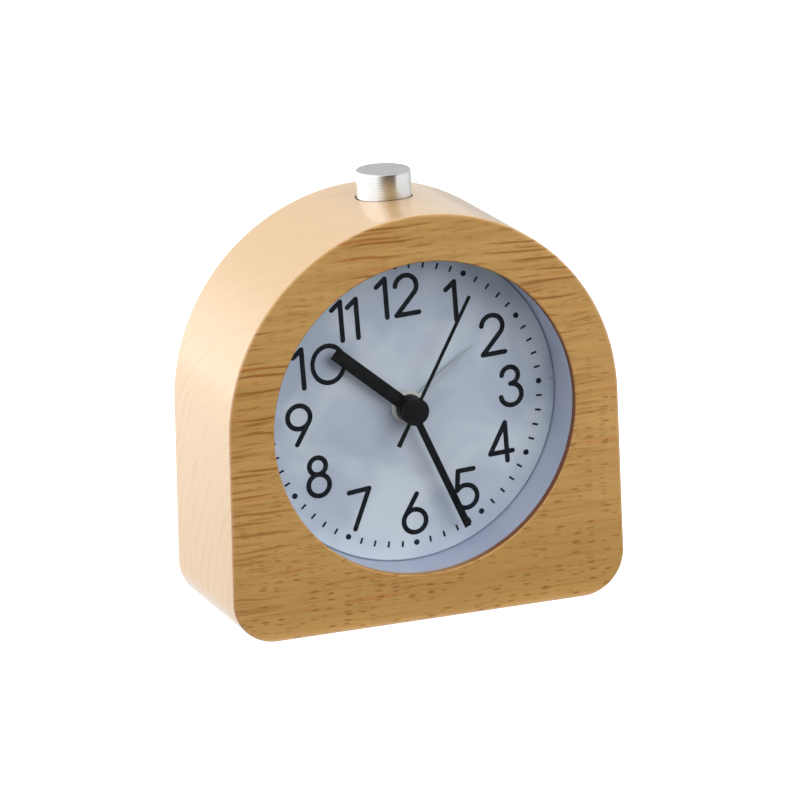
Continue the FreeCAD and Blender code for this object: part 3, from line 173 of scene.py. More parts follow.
# %% [markdown]
# ## Effects that several finishes share
# Plastics, metals and paints each need their own colours, but share their small-scale
# effects. Such an effect is a node group, built once with named sockets, and placed
# in each material with that material's own values.


# %% Group helper
def new_group(name, inputs, outputs):
    """An empty node group, with a name and a usual value for each socket."""
    tree = bpy.data.node_groups.new(name, "ShaderNodeTree")
    for side, sockets in (("INPUT", inputs), ("OUTPUT", outputs)):
        for label, value in sockets.items():
            kind = "NodeSocketColor" if isinstance(value, tuple) else "NodeSocketFloat"
            socket = tree.interface.new_socket(name=label, in_out=side, socket_type=kind)
            socket.default_value = value
    given = tree.nodes.new("NodeGroupInput").outputs
    result = tree.nodes.new("NodeGroupOutput")
    return tree, given, result


def use_group(tree, group, inputs):
    """Place a node group in a material and give its outputs."""
    return add_node(tree, "Group", inputs, node_tree=group).outputs


print("group helper ready")

# %% [markdown]
# ## Moulded grain
# Moulded plastic is never quite smooth: the mould leaves a fine, even grain, and
# handling polishes it in patches. One noise makes the grain, and a second, much
# larger one makes the patches. The grain is also the height for the bump.


# %% Moulded grain
PATCHES_PER_MM = 0.11
GRAIN_IN_ROUGHNESS = 0.3


def make_moulded_grain():
    """Roughness and height of a moulded or painted surface."""
    tree, given, result = new_group(
        "Moulded grain",
        {"Grain in mm": 0.25, "Roughness": 0.45, "Spread": 0.12},
        {"Roughness": 0.45, "Height": 0.5},
    )
    place = place_in_mm(tree)
    grain = noise(tree, place, calc(tree, "DIVIDE", 1.0, given["Grain in mm"]), 3.0)
    patches = noise(tree, place, PATCHES_PER_MM, 3.0)
    centred = calc(tree, "SUBTRACT", patches, 0.5)
    both = calc(tree, "ADD", centred, times(tree, grain, GRAIN_IN_ROUGHNESS))
    change = times(tree, both, given["Spread"])
    rough = calc(tree, "ADD", given["Roughness"], change, clamp=True)
    fill_inputs(tree, result, {"Roughness": rough, "Height": grain})
    return tree


moulded_grain = make_moulded_grain()
print("group:", moulded_grain.name)

# %% [markdown]
# ## Brushed lines
# A lathe or a brush leaves fine parallel lines. Noise that changes quickly across
# the lines and not at all along them gives such lines. The group is told how far
# across the surface it is, so it serves flat, round and turned pieces.


# %% Brushed lines
DRIFTS_PER_MM = 0.35


def make_brushed_lines():
    """Fine lines across a distance, for turned and brushed metal."""
    tree, given, result = new_group(
        "Brushed lines",
        {"Across in mm": 0.0, "Lines per mm": 9.0, "Roughness": 0.3, "Spread": 0.2},
        {"Roughness": 0.3, "Height": 0.5, "Tone": 0.5},
    )
    step = times(tree, given["Across in mm"], given["Lines per mm"])
    lines = noise_along(tree, step, 1.0, 4.0)
    centred = calc(tree, "SUBTRACT", lines, 0.5)
    change = times(tree, centred, given["Spread"])
    rough = calc(tree, "ADD", given["Roughness"], change, clamp=True)
    tone = times(tree, lines, noise(tree, place_in_mm(tree), DRIFTS_PER_MM))
    fill_inputs(tree, result, {"Roughness": rough, "Height": lines, "Tone": tone})
    return tree


brushed_lines = make_brushed_lines()
print("group:", brushed_lines.name)

# %% [markdown]
# ## Soft clouds
# White paint and card look dead in one flat colour. Real ones have faint, wide
# clouds. So a second colour drifts through the first, where a slow noise is high.


# %% Soft clouds
CLOUD_EDGE = (0.36, 0.66)
PALE_GREY, MID_GREY = (0.8, 0.8, 0.8, 1.0), (0.7, 0.7, 0.7, 1.0)


def make_soft_clouds():
    """Two colours that drift into each other over some millimetres."""
    tree, given, result = new_group(
        "Soft clouds",
        {"Colour": PALE_GREY, "Cloud": MID_GREY, "Size in mm": 12.0, "Amount": 0.5},
        {"Colour": PALE_GREY},
    )
    per_mm = calc(tree, "DIVIDE", 1.0, given["Size in mm"])
    drift = noise(tree, place_in_mm(tree), per_mm, 2.5, distortion=0.6)
    mask = times(tree, fade(tree, drift, *CLOUD_EDGE), given["Amount"])
    mixed = blend_colours(tree, mask, given["Colour"], given["Cloud"])
    fill_inputs(tree, result, {"Colour": mixed})
    return tree


soft_clouds = make_soft_clouds()
print("group:", soft_clouds.name)

# %% [markdown]
# ## Materials
# Every material starts from the same Principled shader. This helper makes one and
# sets its plain values, so the cells after it only join their patterns to it.


# %% Material helper
def new_material(name, **plain):
    """A material with one Principled shader, given plain values for its sockets."""
    made = bpy.data.materials.new(name)
    made.use_nodes = True
    tree = made.node_tree
    tree.nodes.clear()
    values = {label.replace("_", " "): value for label, value in plain.items()}
    surface = add_node(tree, "BsdfPrincipled", values)
    add_node(tree, "OutputMaterial", {"Surface": surface.outputs[0]})
    return made, tree, surface


def join_bump(tree, surface, height, strength, depth_mm):
    """Send a height through a Bump node into the shader's normal."""
    inputs = {"Height": height, "Strength": strength, "Distance": depth_mm * MM}
    bump = add_node(tree, "Bump", inputs).outputs[0]
    fill_inputs(tree, surface, {"Normal": bump})


def dress(material, *names):
    """Give a material to CAD pieces."""
    for name in names:
        for place in nodes[name].material_slots:
            place.material = material


print("material helper ready")

# %% [markdown]
# ## Beech
# The case is one block of beech, with the trunk's axis lying along the clock's
# width. The front is sawn along the grain, so it shows long level streaks and short
# dark flecks. The sides are end grain, so they show faint arcs. A flat picture of
# wood can't give both, so the pattern is solid: rings around a trunk axis that
# lies low in front of the clock, cut by the block's own faces.

# %% Rings of the beech
TRUNK_IN_FRONT_MM = 24.0
TRUNK_HEIGHT_MM = 6.0
RING_WIDTH_MM = 4.3
BANDS_PER_MM = 0.36
# Blots per mm along x, y and z, and how many mm they shift the rings.
SLOW_WOBBLE = (0.016, 0.05, 0.05), 8.0
QUICK_WOBBLE = (0.07, 0.3, 0.3), 0.8
# Where in a ring, from 0 to 1, its late wood darkens and where it ends.
DARKENING, RING_END = (0.35, 0.9), (0.9, 1.0)


def hypotenuse(tree, first, second):
    """The longest side of a right-angled triangle."""
    squares = (times(tree, first, first), times(tree, second, second))
    return calc(tree, "SQRT", calc(tree, "ADD", *squares))


def stretched_noise(tree, stretch, detail):
    """Noise whose marks are long where the stretch (blots per mm) is small."""
    return noise(tree, place_in_mm(tree, stretch), 1.0, detail)


def wobble(tree, stretch, reach_mm):
    """A shift of up to half of reach_mm to either side."""
    centred = calc(tree, "SUBTRACT", stretched_noise(tree, stretch, 2.0), 0.5)
    return times(tree, centred, reach_mm)


def beech_rings(tree, spot):
    """Soft bands and thin ring lines around the trunk's axis, never quite round."""
    off_y = calc(tree, "SUBTRACT", spot[1], front_y / MM - TRUNK_IN_FRONT_MM)
    off_z = calc(tree, "SUBTRACT", spot[2], TRUNK_HEIGHT_MM)
    slow = wobble(tree, *SLOW_WOBBLE)
    quick = wobble(tree, *QUICK_WOBBLE)
    shift = calc(tree, "ADD", slow, quick)
    radius = calc(tree, "ADD", hypotenuse(tree, off_y, off_z), shift)
    bands = noise_along(tree, radius, BANDS_PER_MM, 5.0)
    turn = calc(tree, "FRACT", times(tree, radius, 1 / RING_WIDTH_MM))
    darkening = fade(tree, turn, *DARKENING)
    sharp_end = fade(tree, turn, *RING_END, 1.0, 0.0)
    return bands, times(tree, darkening, sharp_end)


print("beech rings ready, one line each", RING_WIDTH_MM, "mm")

# %% [markdown]
# ## Flecks of the beech
# Beech is known by its flecks: the rays of the wood, cut through as short dark
# dashes. They could be painted one by one, but a texture of random cells does it
# for the whole face. The cells are pulled long along the grain, each holds one
# dash, and a random draw in each cell leaves some of them out.

# %% Flecks of the beech
DASH_IN_CELL = 0.5
DASH_EDGE = (0.34, 0.14)
SWAY, SWAY_MM = (0.05, 0.2, 0.1), 3.0
DRAW_EDGE = 0.4
SHORT_ONES = 0.8


def beech_flecks(tree, spot, length, height, kept):
    """Level dashes of a length and height in mm, with a share of them kept."""
    sway = times(tree, stretched_noise(tree, SWAY, 1.0), SWAY_MM)
    along = times(tree, spot[0], DASH_IN_CELL / length)
    level = times(tree, calc(tree, "ADD", spot[2], sway), DASH_IN_CELL / height)
    where = add_node(tree, "CombineXYZ", {0: along, 1: level}).outputs[0]
    inputs = {"Vector": where, "Scale": 1.0}
    cells = add_node(tree, "TexVoronoi", inputs, voronoi_dimensions="2D").outputs
    dash = fade(tree, cells["Distance"], *DASH_EDGE)
    draw = split(tree, cells["Color"])[0]
    left_out = 1.0 - kept
    return times(tree, dash, fade(tree, draw, left_out, left_out + DRAW_EDGE))


def long_and_short(tree, spot, long, short):
    """Long dashes, with weaker short ones between them."""
    short_dashes = times(tree, beech_flecks(tree, spot, *short), SHORT_ONES)
    return calc(tree, "MAXIMUM", beech_flecks(tree, spot, *long), short_dashes)


print("beech flecks ready")

# %% [markdown]
# ## Colours as a screen shows them
# Colours are easiest to give as a screen shows them, from 0 to 255. Shaders work with
# linear light, where half the number is half the light, so each one is converted.


# %% Screen colours
def rgb(red, green, blue):
    """A screen colour, 0 to 255, as linear light."""
    linear = []
    for channel in (red, green, blue):
        share = channel / 255
        if share < 0.04045:
            linear.append(share / 12.92)
        else:
            linear.append(((share + 0.055) / 1.055) ** 2.4)
    return (*linear, 1.0)


def glaze(tree, under, colour, mask, strength):
    """Lay a colour over another where a mask shows, as strongly as told."""
    return blend_colours(tree, times(tree, mask, strength), under, colour)


print("middle grey is", round(rgb(128, 128, 128)[0], 3), "in linear light")

# %% [markdown]
# ## Golden ground of the front
# Under its marks the sawn face is gold, in slow level tones, and a glaze of painted
# light makes it lighter towards the lower right. One colour with one noise would look
# like plastic, so several thin glazes, each with its own stretch and strength, build it up.

# %% Golden ground
# Blots per mm along x, y and z, then the noise values between which a glaze comes in.
DRIFT, DRIFT_EDGES = (0.012, 0.03, 0.035), (0.35, 0.7)
LEVEL_TONES, LEVEL_EDGES = (0.03, 0.3, 0.75), (0.44, 0.68)
BANDS_EDGES = (0.42, 0.68)
BANDS_SHARE, LEVEL_SHARE, PAINTED_LIGHT_SHARE = 0.3, 0.3, 0.35
MIDDLE_HEIGHT_MM, CLIMB, LEAN = 45.0, 0.016, 0.006
UPPER_LEFT_START, LOWER_RIGHT_START = 0.6, 1.2
LIGHT_GOLD, DEEP_GOLD, PAINTED_LIGHT_GOLD = rgb(197, 154, 92), rgb(188, 144, 80), rgb(212, 166, 98)
BAND_BROWN, LEVEL_BROWN = rgb(164, 123, 64), rgb(158, 114, 58)


def corner_masks(tree, spot):
    """Two soft masks: one towards the upper left, one towards the lower right."""
    above_middle = calc(tree, "SUBTRACT", spot[2], MIDDLE_HEIGHT_MM)
    climb, lean = times(tree, above_middle, CLIMB), times(tree, spot[0], LEAN)
    slant = calc(tree, "SUBTRACT", climb, lean)
    upper_left = calc(tree, "ADD", slant, UPPER_LEFT_START, clamp=True)
    lower_right = calc(tree, "SUBTRACT", LOWER_RIGHT_START, upper_left, clamp=True)
    return upper_left, lower_right


def golden_ground(tree, bands, lower_right):
    """The sawn face before its marks."""
    drift = fade(tree, stretched_noise(tree, DRIFT, 1.0), *DRIFT_EDGES)
    gold = blend_colours(tree, drift, LIGHT_GOLD, DEEP_GOLD)
    gold = glaze(tree, gold, BAND_BROWN, fade(tree, bands, *BANDS_EDGES), BANDS_SHARE)
    level = fade(tree, stretched_noise(tree, LEVEL_TONES, 3.0), *LEVEL_EDGES)
    gold = glaze(tree, gold, LEVEL_BROWN, level, LEVEL_SHARE)
    # Painted light: the last glaze makes the gold lighter towards the lower right.
    return glaze(tree, gold, PAINTED_LIGHT_GOLD, lower_right, PAINTED_LIGHT_SHARE)


print("golden ground ready")

# %% [markdown]
# ## Marks on the front
# Over the gold lie broken brown streaks, thick at the upper left, then a reddish
# drift, fine fibres, and at last the flecks, which are thickest at the lower right.
# The fibres and the dark marks are kept, because the gloss and the bump follow them.

# %% Marks on the front
RED_DRIFT, RED_EDGES, RED_SHARE = (0.035, 0.2, 0.5), (0.58, 0.74), 0.45
FIBRES, FIBRE_EDGES, FIBRE_SHARE = (0.16, 2.2, 2.8), (0.35, 0.75), 0.22
STREAK_BROWN, FLECK_BROWN = rgb(148, 93, 38), rgb(142, 92, 36)
RED_BROWN, FIBRE_BROWN = rgb(190, 116, 52), rgb(146, 102, 52)
# Each size is length in mm, height in mm and the share that is kept.
STREAK_SIZES = ((19.0, 0.62, 0.64), (7.0, 0.45, 0.46))
FLECK_SIZES = ((2.1, 0.5, 0.46), (1.5, 0.42, 0.38))
# How strong the marks are everywhere, and how much more in their own corner.
STREAK_SHARES, FLECK_SHARES = (0.22, 0.68), (0.24, 0.48)


def share_of_marks(tree, corner, shares):
    """The strength of the marks, which grows towards a corner."""
    everywhere, more = shares
    return calc(tree, "ADD", times(tree, corner, more), everywhere)


def front_colours(tree, bands, spot):
    """The golden face with its streaks, drift, fibres and flecks."""
    upper_left, lower_right = corner_masks(tree, spot)
    gold = golden_ground(tree, bands, lower_right)

    streaks = long_and_short(tree, spot, *STREAK_SIZES)
    share = share_of_marks(tree, upper_left, STREAK_SHARES)
    gold = glaze(tree, gold, STREAK_BROWN, streaks, share)

    red = fade(tree, stretched_noise(tree, RED_DRIFT, 1.5), *RED_EDGES)
    gold = glaze(tree, gold, RED_BROWN, red, RED_SHARE)
    fibres = stretched_noise(tree, FIBRES, 4.0)
    fibre_mask = fade(tree, fibres, *FIBRE_EDGES)
    gold = glaze(tree, gold, FIBRE_BROWN, fibre_mask, FIBRE_SHARE)

    flecks = long_and_short(tree, spot, *FLECK_SIZES)
    share = share_of_marks(tree, lower_right, FLECK_SHARES)
    gold = glaze(tree, gold, FLECK_BROWN, flecks, share)
    return gold, fibres, calc(tree, "MAXIMUM", flecks, streaks)


print("streak sizes:", STREAK_SIZES, "fleck sizes:", FLECK_SIZES)

# %% [markdown]
# ## End grain and painted sheen
# The sides and the arched top are painted paler and less golden than the front, as the
# sheen of the lacquer, and they show faint arcs where the rings are cut across. The arcs
# are broken by a noise and weaker near the crown, because even ones would look like a
# drawn target.

# %% End grain and painted sheen
# Painted sheen: the sides and top are paler and less golden than the sawn front.
PALE_WOOD_AND_SHEEN, PALE_BAND, RING_BROWN = rgb(216, 178, 126), rgb(208, 166, 112), rgb(190, 136, 84)
PALE_EDGES, PALE_SHARE = (0.4, 0.7), 0.22
# The arcs are weak at the first height in mm, and have their full share at the second.
ARC_HEIGHTS_MM, ARC_SHARES = (75.0, 45.0), (0.08, 0.26)
BREAKS, BREAK_EDGES, BREAK_SHARES = (0.05, 0.16, 0.05), (0.4, 0.62), (0.25, 1.0)


def end_grain_and_sheen_colours(tree, bands, lines, spot):
    """Pale wood with painted sheen, and faint, broken arcs."""
    pale_bands = fade(tree, bands, *PALE_EDGES)
    pale = glaze(tree, PALE_WOOD_AND_SHEEN, PALE_BAND, pale_bands, PALE_SHARE)
    by_height = fade(tree, spot[2], *ARC_HEIGHTS_MM, *ARC_SHARES)
    breaks = stretched_noise(tree, BREAKS, 2.0)
    broken = fade(tree, breaks, *BREAK_EDGES, *BREAK_SHARES)
    return glaze(tree, pale, RING_BROWN, lines, times(tree, by_height, broken))


print("end grain ready")

# %% [markdown]
# ## Lip and rim
# The lip round the dial is cut across the grain and left without lacquer, so it is
# matt, and it is coloured a dark brown; the rounded front edge is a little darker too.
# Two masks, by the distance from the dial and by the way the wood faces, find both on
# the one block.

# %% Lip and rim
LIP_EDGE_MM = (42.0, 40.0)
FACE_DEPTH_MM = (front_y / MM + 0.15, front_y / MM + 0.35)
# The lip's brown gets stronger from left to right, as on the real one.
LIP_SPAN_MM, LIP_SHARES = (-8.0, 24.0), (0.45, 0.95)
# The rim is where the wood faces partly forwards, outside the lip, and below the arch.
ROUNDING_START, ROUNDING_END = (0.2, 0.5), (0.99, 0.8)
RIM_RADIUS_MM, RIM_HEIGHT_MM, RIM_SHARE = (43.0, 46.0), (82.0, 62.0), 0.45
BARE_FACING = (0.97, 0.9)
LIP_BROWN, RIM_BROWN = rgb(112, 58, 30), rgb(168, 100, 56)


def distance_from_dial(tree, spot):
    """Millimetres from the dial's axis."""
    across = calc(tree, "SUBTRACT", spot[0], dial_middle.x / MM)
    above = calc(tree, "SUBTRACT", spot[2], dial_middle.z / MM)
    return hypotenuse(tree, across, above)


def facing(tree, axis):
    """How squarely the surface faces along an axis: 1 is straight on."""
    normal = add_node(tree, "NewGeometry").outputs["Normal"]
    return calc(tree, "ABSOLUTE", split(tree, normal)[axis])


def darken_lip_and_rim(tree, colour, spot, frontal):
    """Darken the lip and the front rim, and find where the wood is bare."""
    radius = distance_from_dial(tree, spot)
    near_opening = fade(tree, radius, *LIP_EDGE_MM)
    lip = times(tree, near_opening, fade(tree, spot[1], *FACE_DEPTH_MM))
    to_the_right = fade(tree, spot[0], *LIP_SPAN_MM, *LIP_SHARES)
    colour = glaze(tree, colour, LIP_BROWN, lip, to_the_right)

    off_the_sides = fade(tree, frontal, *ROUNDING_START)
    rounding = times(tree, off_the_sides, fade(tree, frontal, *ROUNDING_END))
    rim = times(tree, rounding, fade(tree, radius, *RIM_RADIUS_MM))
    rim = times(tree, rim, fade(tree, spot[2], *RIM_HEIGHT_MM))
    colour = glaze(tree, colour, RIM_BROWN, rim, RIM_SHARE)
    return colour, times(tree, near_opening, fade(tree, frontal, *BARE_FACING))


print("lip and rim ready")

# %% [markdown]
# ## The beech put together
# The front's gold and the pale sides, with their painted sheen, meet on the rounded
# edge, where the wood turns from one to the other. A clear coat gives the lacquer its own
# sharp gloss over the softer wood, and is left off the bare lip.


# %% Beech material
# How squarely the wood faces forwards where it turns from the pale sides, with painted
# sheen, to the sawn face.
SAWN_FACING = (0.25, 0.8)
FIBRE_SPAN, FIBRE_ROUGHNESS, BARE_ROUGHNESS = (0.3, 0.7), (0.34, 0.46), 0.7
MARKS_HEIGHT = -0.5


def make_beech():
    """Lacquered beech for the whole case."""
    beech, tree, surface = new_material(
        "beech case", Coat_Roughness=0.13, Coat_IOR=1.6, IOR=1.5
    )
    spot = split(tree, place_in_mm(tree))
    frontal = facing(tree, 1)
    bands, lines = beech_rings(tree, spot)
    gold, fibres, dark_marks = front_colours(tree, bands, spot)
    pale = end_grain_and_sheen_colours(tree, bands, lines, spot)
    colour = blend_colours(tree, fade(tree, frontal, *SAWN_FACING), pale, gold)
    colour, bare = darken_lip_and_rim(tree, colour, spot, frontal)

    wood_rough = fade(tree, fibres, *FIBRE_SPAN, *FIBRE_ROUGHNESS)
    rough = calc(tree, "MAXIMUM", wood_rough, times(tree, bare, BARE_ROUGHNESS))
    coat = calc(tree, "SUBTRACT", 1.0, bare, clamp=True)
    joined = {"Base Color": colour, "Roughness": rough, "Coat Weight": coat}
    fill_inputs(tree, surface, joined)
    relief = calc(tree, "ADD", times(tree, dark_marks, MARKS_HEIGHT), fibres)
    join_bump(tree, surface, relief, 0.3, 0.02)
    return beech


beech = make_beech()
dress(beech, "wood_case")
print("beech on the case, nodes:", len(beech.node_tree.nodes))

# %% [markdown]
# ## Lens
# The clear disc is a Principled shader with full transmission. Light that only
# crosses it to reach the dial is let through by a Transparent shader, because a
# path tracer finds almost no light through real refraction.


# %% Clear lens
def choose_shader(tree, share, first, second):
    """The first shader, or the second where the share is 1."""
    inputs = {0: share, 1: first.outputs[0], 2: second.outputs[0]}
    return add_node(tree, "MixShader", inputs).outputs[0]


def show_shader(tree, shader):
    """Send another shader to the material's output."""
    out = next(node for node in tree.nodes if node.type == "OUTPUT_MATERIAL")
    fill_inputs(tree, out, {"Surface": shader})


def make_lens():
    """Clear plastic that lets the lamp through to the dial."""
    lens, tree, surface = new_material(
        "clear lens",
        Base_Color=(0.985, 0.99, 1.0, 1.0),
        Transmission_Weight=1.0,
        IOR=1.4,
        Specular_IOR_Level=0.12,
    )
    wear = {"Grain in mm": 3.0, "Roughness": 0.02, "Spread": 0.03}
    feel = use_group(tree, moulded_grain, wear)
    fill_inputs(tree, surface, {"Roughness": feel["Roughness"]})
    clear = add_node(tree, "BsdfTransparent", {"Color": (0.96, 0.97, 0.99, 1.0)})
    path = add_node(tree, "LightPath").outputs
    passing = calc(tree, "MAXIMUM", path["Is Shadow Ray"], path["Is Diffuse Ray"])
    show_shader(tree, choose_shader(tree, passing, surface, clear))
    return lens


dress(make_lens(), "lens")
print("clear lens")

# %% [markdown]
# ## Dial, ring and ink
# The dial is matt card in a cool white, with faint clouds, which are partly painted
# reflections of the lens. The ring around it is moulded in a darker, bluer white. The ink
# sits on the dial as a thin matt layer. All of them, and the painted and moulded pieces
# later on, share one recipe of clouds and grain.


# %% Moulded, painted and printed finishes
def make_plastic(name, colour, cloud, clouds, roughness, grain, **plain):
    """Plastic, paint or ink. Clouds are (mm, share), and the grain is (mm, bump)."""
    made, tree, surface = new_material(name, **plain)
    cloud_mm, amount = clouds
    grain_mm, bump = grain
    paint = {"Colour": colour, "Cloud": cloud, "Size in mm": cloud_mm, "Amount": amount}
    tint = use_group(tree, soft_clouds, paint)
    feel = use_group(tree, moulded_grain, {"Grain in mm": grain_mm, "Roughness": roughness})
    fill_inputs(
        tree, surface, {"Base Color": tint["Colour"], "Roughness": feel["Roughness"]}
    )
    join_bump(tree, surface, feel["Height"], bump, 0.02)
    return made


def paint_zone(material, start, end, colour):
    """Fade to another colour between two distances (mm) from the dial's axis."""
    tree = material.node_tree
    surface = next(node for node in tree.nodes if node.type == "BSDF_PRINCIPLED")
    under = surface.inputs["Base Color"].links[0].from_socket
    spot = split(tree, place_in_mm(tree))
    share = fade(tree, distance_from_dial(tree, spot), start, end)
    fill_inputs(tree, surface, {"Base Color": blend_colours(tree, share, under, colour)})


print("recipe for plastic, paint and ink ready")

# %% [markdown]
# ## Colours of the dial
# The card's edge is in the ring's shade, so its colour falls to a blue grey in the
# last third of a millimetre. The dots are a bluer black than the numerals.

# %% Dial, ring and ink
dial_low, dial_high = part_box("dial_plate")
dial_radius_mm = (dial_high[0] - dial_low[0]) / 2 / MM
# Painted reflection: the dial's strong blue-grey clouds are partly the lens's reflections.
dial_white = make_plastic(
    "dial white", rgb(213, 222, 227), rgb(178, 188, 203), (21.0, 0.85), 0.6, (0.3, 0.12)
)
paint_zone(dial_white, dial_radius_mm - 0.35, dial_radius_mm - 0.15, rgb(136, 145, 170))
ring_white = make_plastic(
    "ring white", rgb(183, 190, 207), rgb(169, 176, 195), (20.0, 0.6), 0.42, (0.3, 0.1)
)
dial_ink = make_plastic(
    "dial ink", rgb(5, 10, 17), rgb(11, 18, 27), (3.0, 0.7), 0.5, (0.12, 0.2),
    Specular_IOR_Level=0.25,
)
mark_ink = make_plastic(
    "mark ink", rgb(14, 20, 34), rgb(24, 32, 48), (2.0, 0.7), 0.5, (0.12, 0.2),
    Specular_IOR_Level=0.25,
)
dress(dial_white, "dial_plate")
dress(ring_white, "inner_ring")
dress(dial_ink, "dial_numerals")
dress(mark_ink, "dial_marks")
print("dial painted, radius in mm:", round(dial_radius_mm, 2))

# %% [markdown]
# ## Hands
# The hands are stamped from thin metal and painted satin black. The alarm hand is
# painted in a pale grey that hardly stands out from the dial, and its round middle
# is a warmer white, so a zone of paint around the axis gives that.

# %% Painted hands
hand_black = make_plastic(
    "hand black", rgb(7, 9, 10), rgb(13, 15, 17), (4.0, 0.6), 0.5, (0.15, 0.15),
    Specular_IOR_Level=0.2,
)
hand_pale = make_plastic(
    "hand pale", rgb(177, 186, 193), rgb(165, 174, 182), (5.0, 0.6), 0.4, (0.15, 0.12)
)
BOSS_EDGE_MM = (4.9, 4.3)
paint_zone(hand_pale, *BOSS_EDGE_MM, rgb(216, 216, 204))
dress(hand_black, "second_hand", "minute_hand", "hour_hand")
dress(hand_pale, "alarm_hand")
print("hands painted")

# %% [markdown]
# ## Turned metal
# The button is turned from aluminium, so its lines run round it: rings on the top,
# and level lines down its side. The line group is fed the distance from the piece's
# own axis plus the height along it, which makes both kinds at once, without a seam.

# %% Turned metal
TURNED_PARTS = {"z": (0, 1, 2), "y": (0, 2, 1), "x": (1, 2, 0)}
LINE_TONES = (0.12, 0.4)
END_FACES = (0.8, 0.97)
BLACK = (0.0, 0.0, 0.0, 1.0)


def make_turned_metal(
    name, middle, axis, colour, shade, lines, roughness, spread, end=1.0, bump=0.25
):
    """Metal turned about an axis; painted shade keeps its flat ends at a share, end, of
    their brightness.
    """
    made, tree, surface = new_material(name, Metallic=1.0)
    first, second, length = TURNED_PARTS[axis]
    spot = split(tree, place_in_mm(tree))
    off_a = calc(tree, "SUBTRACT", spot[first], middle[first] / MM)
    off_b = calc(tree, "SUBTRACT", spot[second], middle[second] / MM)
    across = calc(tree, "ADD", hypotenuse(tree, off_a, off_b), spot[length])
    cut = {"Lines per mm": lines, "Roughness": roughness, "Spread": spread}
    marks = use_group(tree, brushed_lines, {"Across in mm": across, **cut})
    tint = blend_colours(tree, fade(tree, marks["Tone"], *LINE_TONES), shade, colour)
    # Painted shade: the flat end faces are glazed towards black.
    if end < 1.0:
        painted_shade_on_end = fade(tree, facing(tree, length), *END_FACES)
        tint = glaze(tree, tint, BLACK, painted_shade_on_end, 1.0 - end)
    fill_inputs(tree, surface, {"Base Color": tint, "Roughness": marks["Roughness"]})
    join_bump(tree, surface, marks["Height"], bump, 0.01)
    return made


button_middle = middle_of("button_cap")
# Painted shade keeps the button's flat top at 0.74 of its brightness.
button_metal = make_turned_metal(
    "button metal", button_middle, "z", rgb(236, 237, 236), rgb(224, 225, 224),
    lines=6.0, roughness=0.26, spread=0.12, end=0.74, bump=0.12,
)
dress(button_metal, "button_cap")
print("button middle (mm):", [round(v / MM, 1) for v in button_middle])

# %% [markdown]
# ## Moulded pieces of the back and the movement
# The cover and door are moulded in black plastic with a fine, even grain, the knobs
# and the switch are a little lighter, and the wheels are off-white, as such gears
# are. All use the recipe above, so one table holds their values, and a second one
# says which pieces wear them.

# %% Moulded pieces
# Colour, cloud colour, clouds (mm, share), roughness, grain (mm, bump).
moulded = {
    "back black": (rgb(34, 35, 38), rgb(42, 43, 46), (9.0, 0.6), 0.5, (0.22, 0.35)),
    "knob grey": (rgb(58, 60, 64), rgb(68, 70, 74), (6.0, 0.6), 0.42, (0.2, 0.25)),
    "movement black": (rgb(30, 31, 33), rgb(38, 39, 41), (8.0, 0.6), 0.55, (0.25, 0.3)),
    "gear white": (rgb(232, 230, 220), rgb(218, 214, 200), (5.0, 0.6), 0.4, (0.2, 0.12)),
    "lead insulation": (rgb(165, 30, 26), rgb(140, 22, 20), (3.0, 0.6), 0.4, (0.2, 0.12)),
    "board brown": (rgb(150, 108, 62), rgb(130, 90, 48), (2.5, 0.8), 0.5, (0.1, 0.3)),
}
moulded_pieces = {
    "back black": ["rear_cover", "battery_door"],
    "knob grey": ["time_knob", "alarm_knob", "alarm_switch", "switch_plunger"],
    "movement black": [
        "front_plate", "middle_plate", "movement_housing", "chip_cap", "guide_bush",
        "snooze_switch",
    ],
    "gear white": [
        "alarm_wheel", "hour_wheel", "cannon_pinion", "centre_wheel", "minute_wheel",
        "third_wheel", "second_wheel", "step_wheel", "rotor_pinion", "coil_bobbin",
        "time_set_shaft", "alarm_set_shaft",
    ],
    "lead insulation": ["switch_leads"],
    "board brown": ["circuit_board"],
}
for name, values in moulded.items():
    dress(make_plastic(name, *values), *moulded_pieces[name])
    print(name, "on pieces:", len(moulded_pieces[name]))

# %% [markdown]
# ## Small metal pieces
# Screws, springs and contacts are plain steel, the sounder is brass, the coil is
# enamelled copper, and the motor's plate is soft iron. They share the turned-metal
# recipe with their own axis, colours and lines, so they are a table as well.

# %% Metal pieces inside
origin = Vector((0.0, 0.0, 0.0))
battery_middle = middle_of("battery")
buzzer_middle = middle_of("buzzer_disc")
rotor_middle = middle_of("rotor_magnet")
# Middle, axis, colour, shade, lines per mm, roughness, spread.
metal_table = {
    "screw steel": (
        dial_middle, "y", rgb(205, 206, 208), rgb(176, 178, 182), 5.0, 0.3, 0.18
    ),
    "spring steel": (
        battery_middle, "x", rgb(214, 214, 212), rgb(190, 190, 188), 4.0, 0.24, 0.14
    ),
    "stator iron": (origin, "x", rgb(178, 178, 180), rgb(150, 150, 152), 3.0, 0.4, 0.2),
    "buzzer brass": (
        buzzer_middle, "y", rgb(222, 188, 110), rgb(196, 158, 82), 4.0, 0.3, 0.2
    ),
    "copper wire": (origin, "x", rgb(196, 110, 60), rgb(150, 74, 36), 6.0, 0.3, 0.2),
    "magnet grey": (rotor_middle, "y", rgb(96, 96, 98), rgb(74, 74, 76), 3.0, 0.5, 0.2),
}
metal_pieces = {
    "screw steel": ["movement_screws", "rear_screws", "quartz_can"],
    "spring steel": [
        "positive_contact", "negative_contact", "contact_spring", "button_stem",
        "stem_clip", "button_spring",
    ],
    "stator iron": ["stator", "coil_core"],
    "buzzer brass": ["buzzer_disc"],
    "copper wire": ["coil_winding"],
    "magnet grey": ["rotor_magnet"],
}
metals = {
    name: make_turned_metal(name, *values) for name, values in metal_table.items()
}
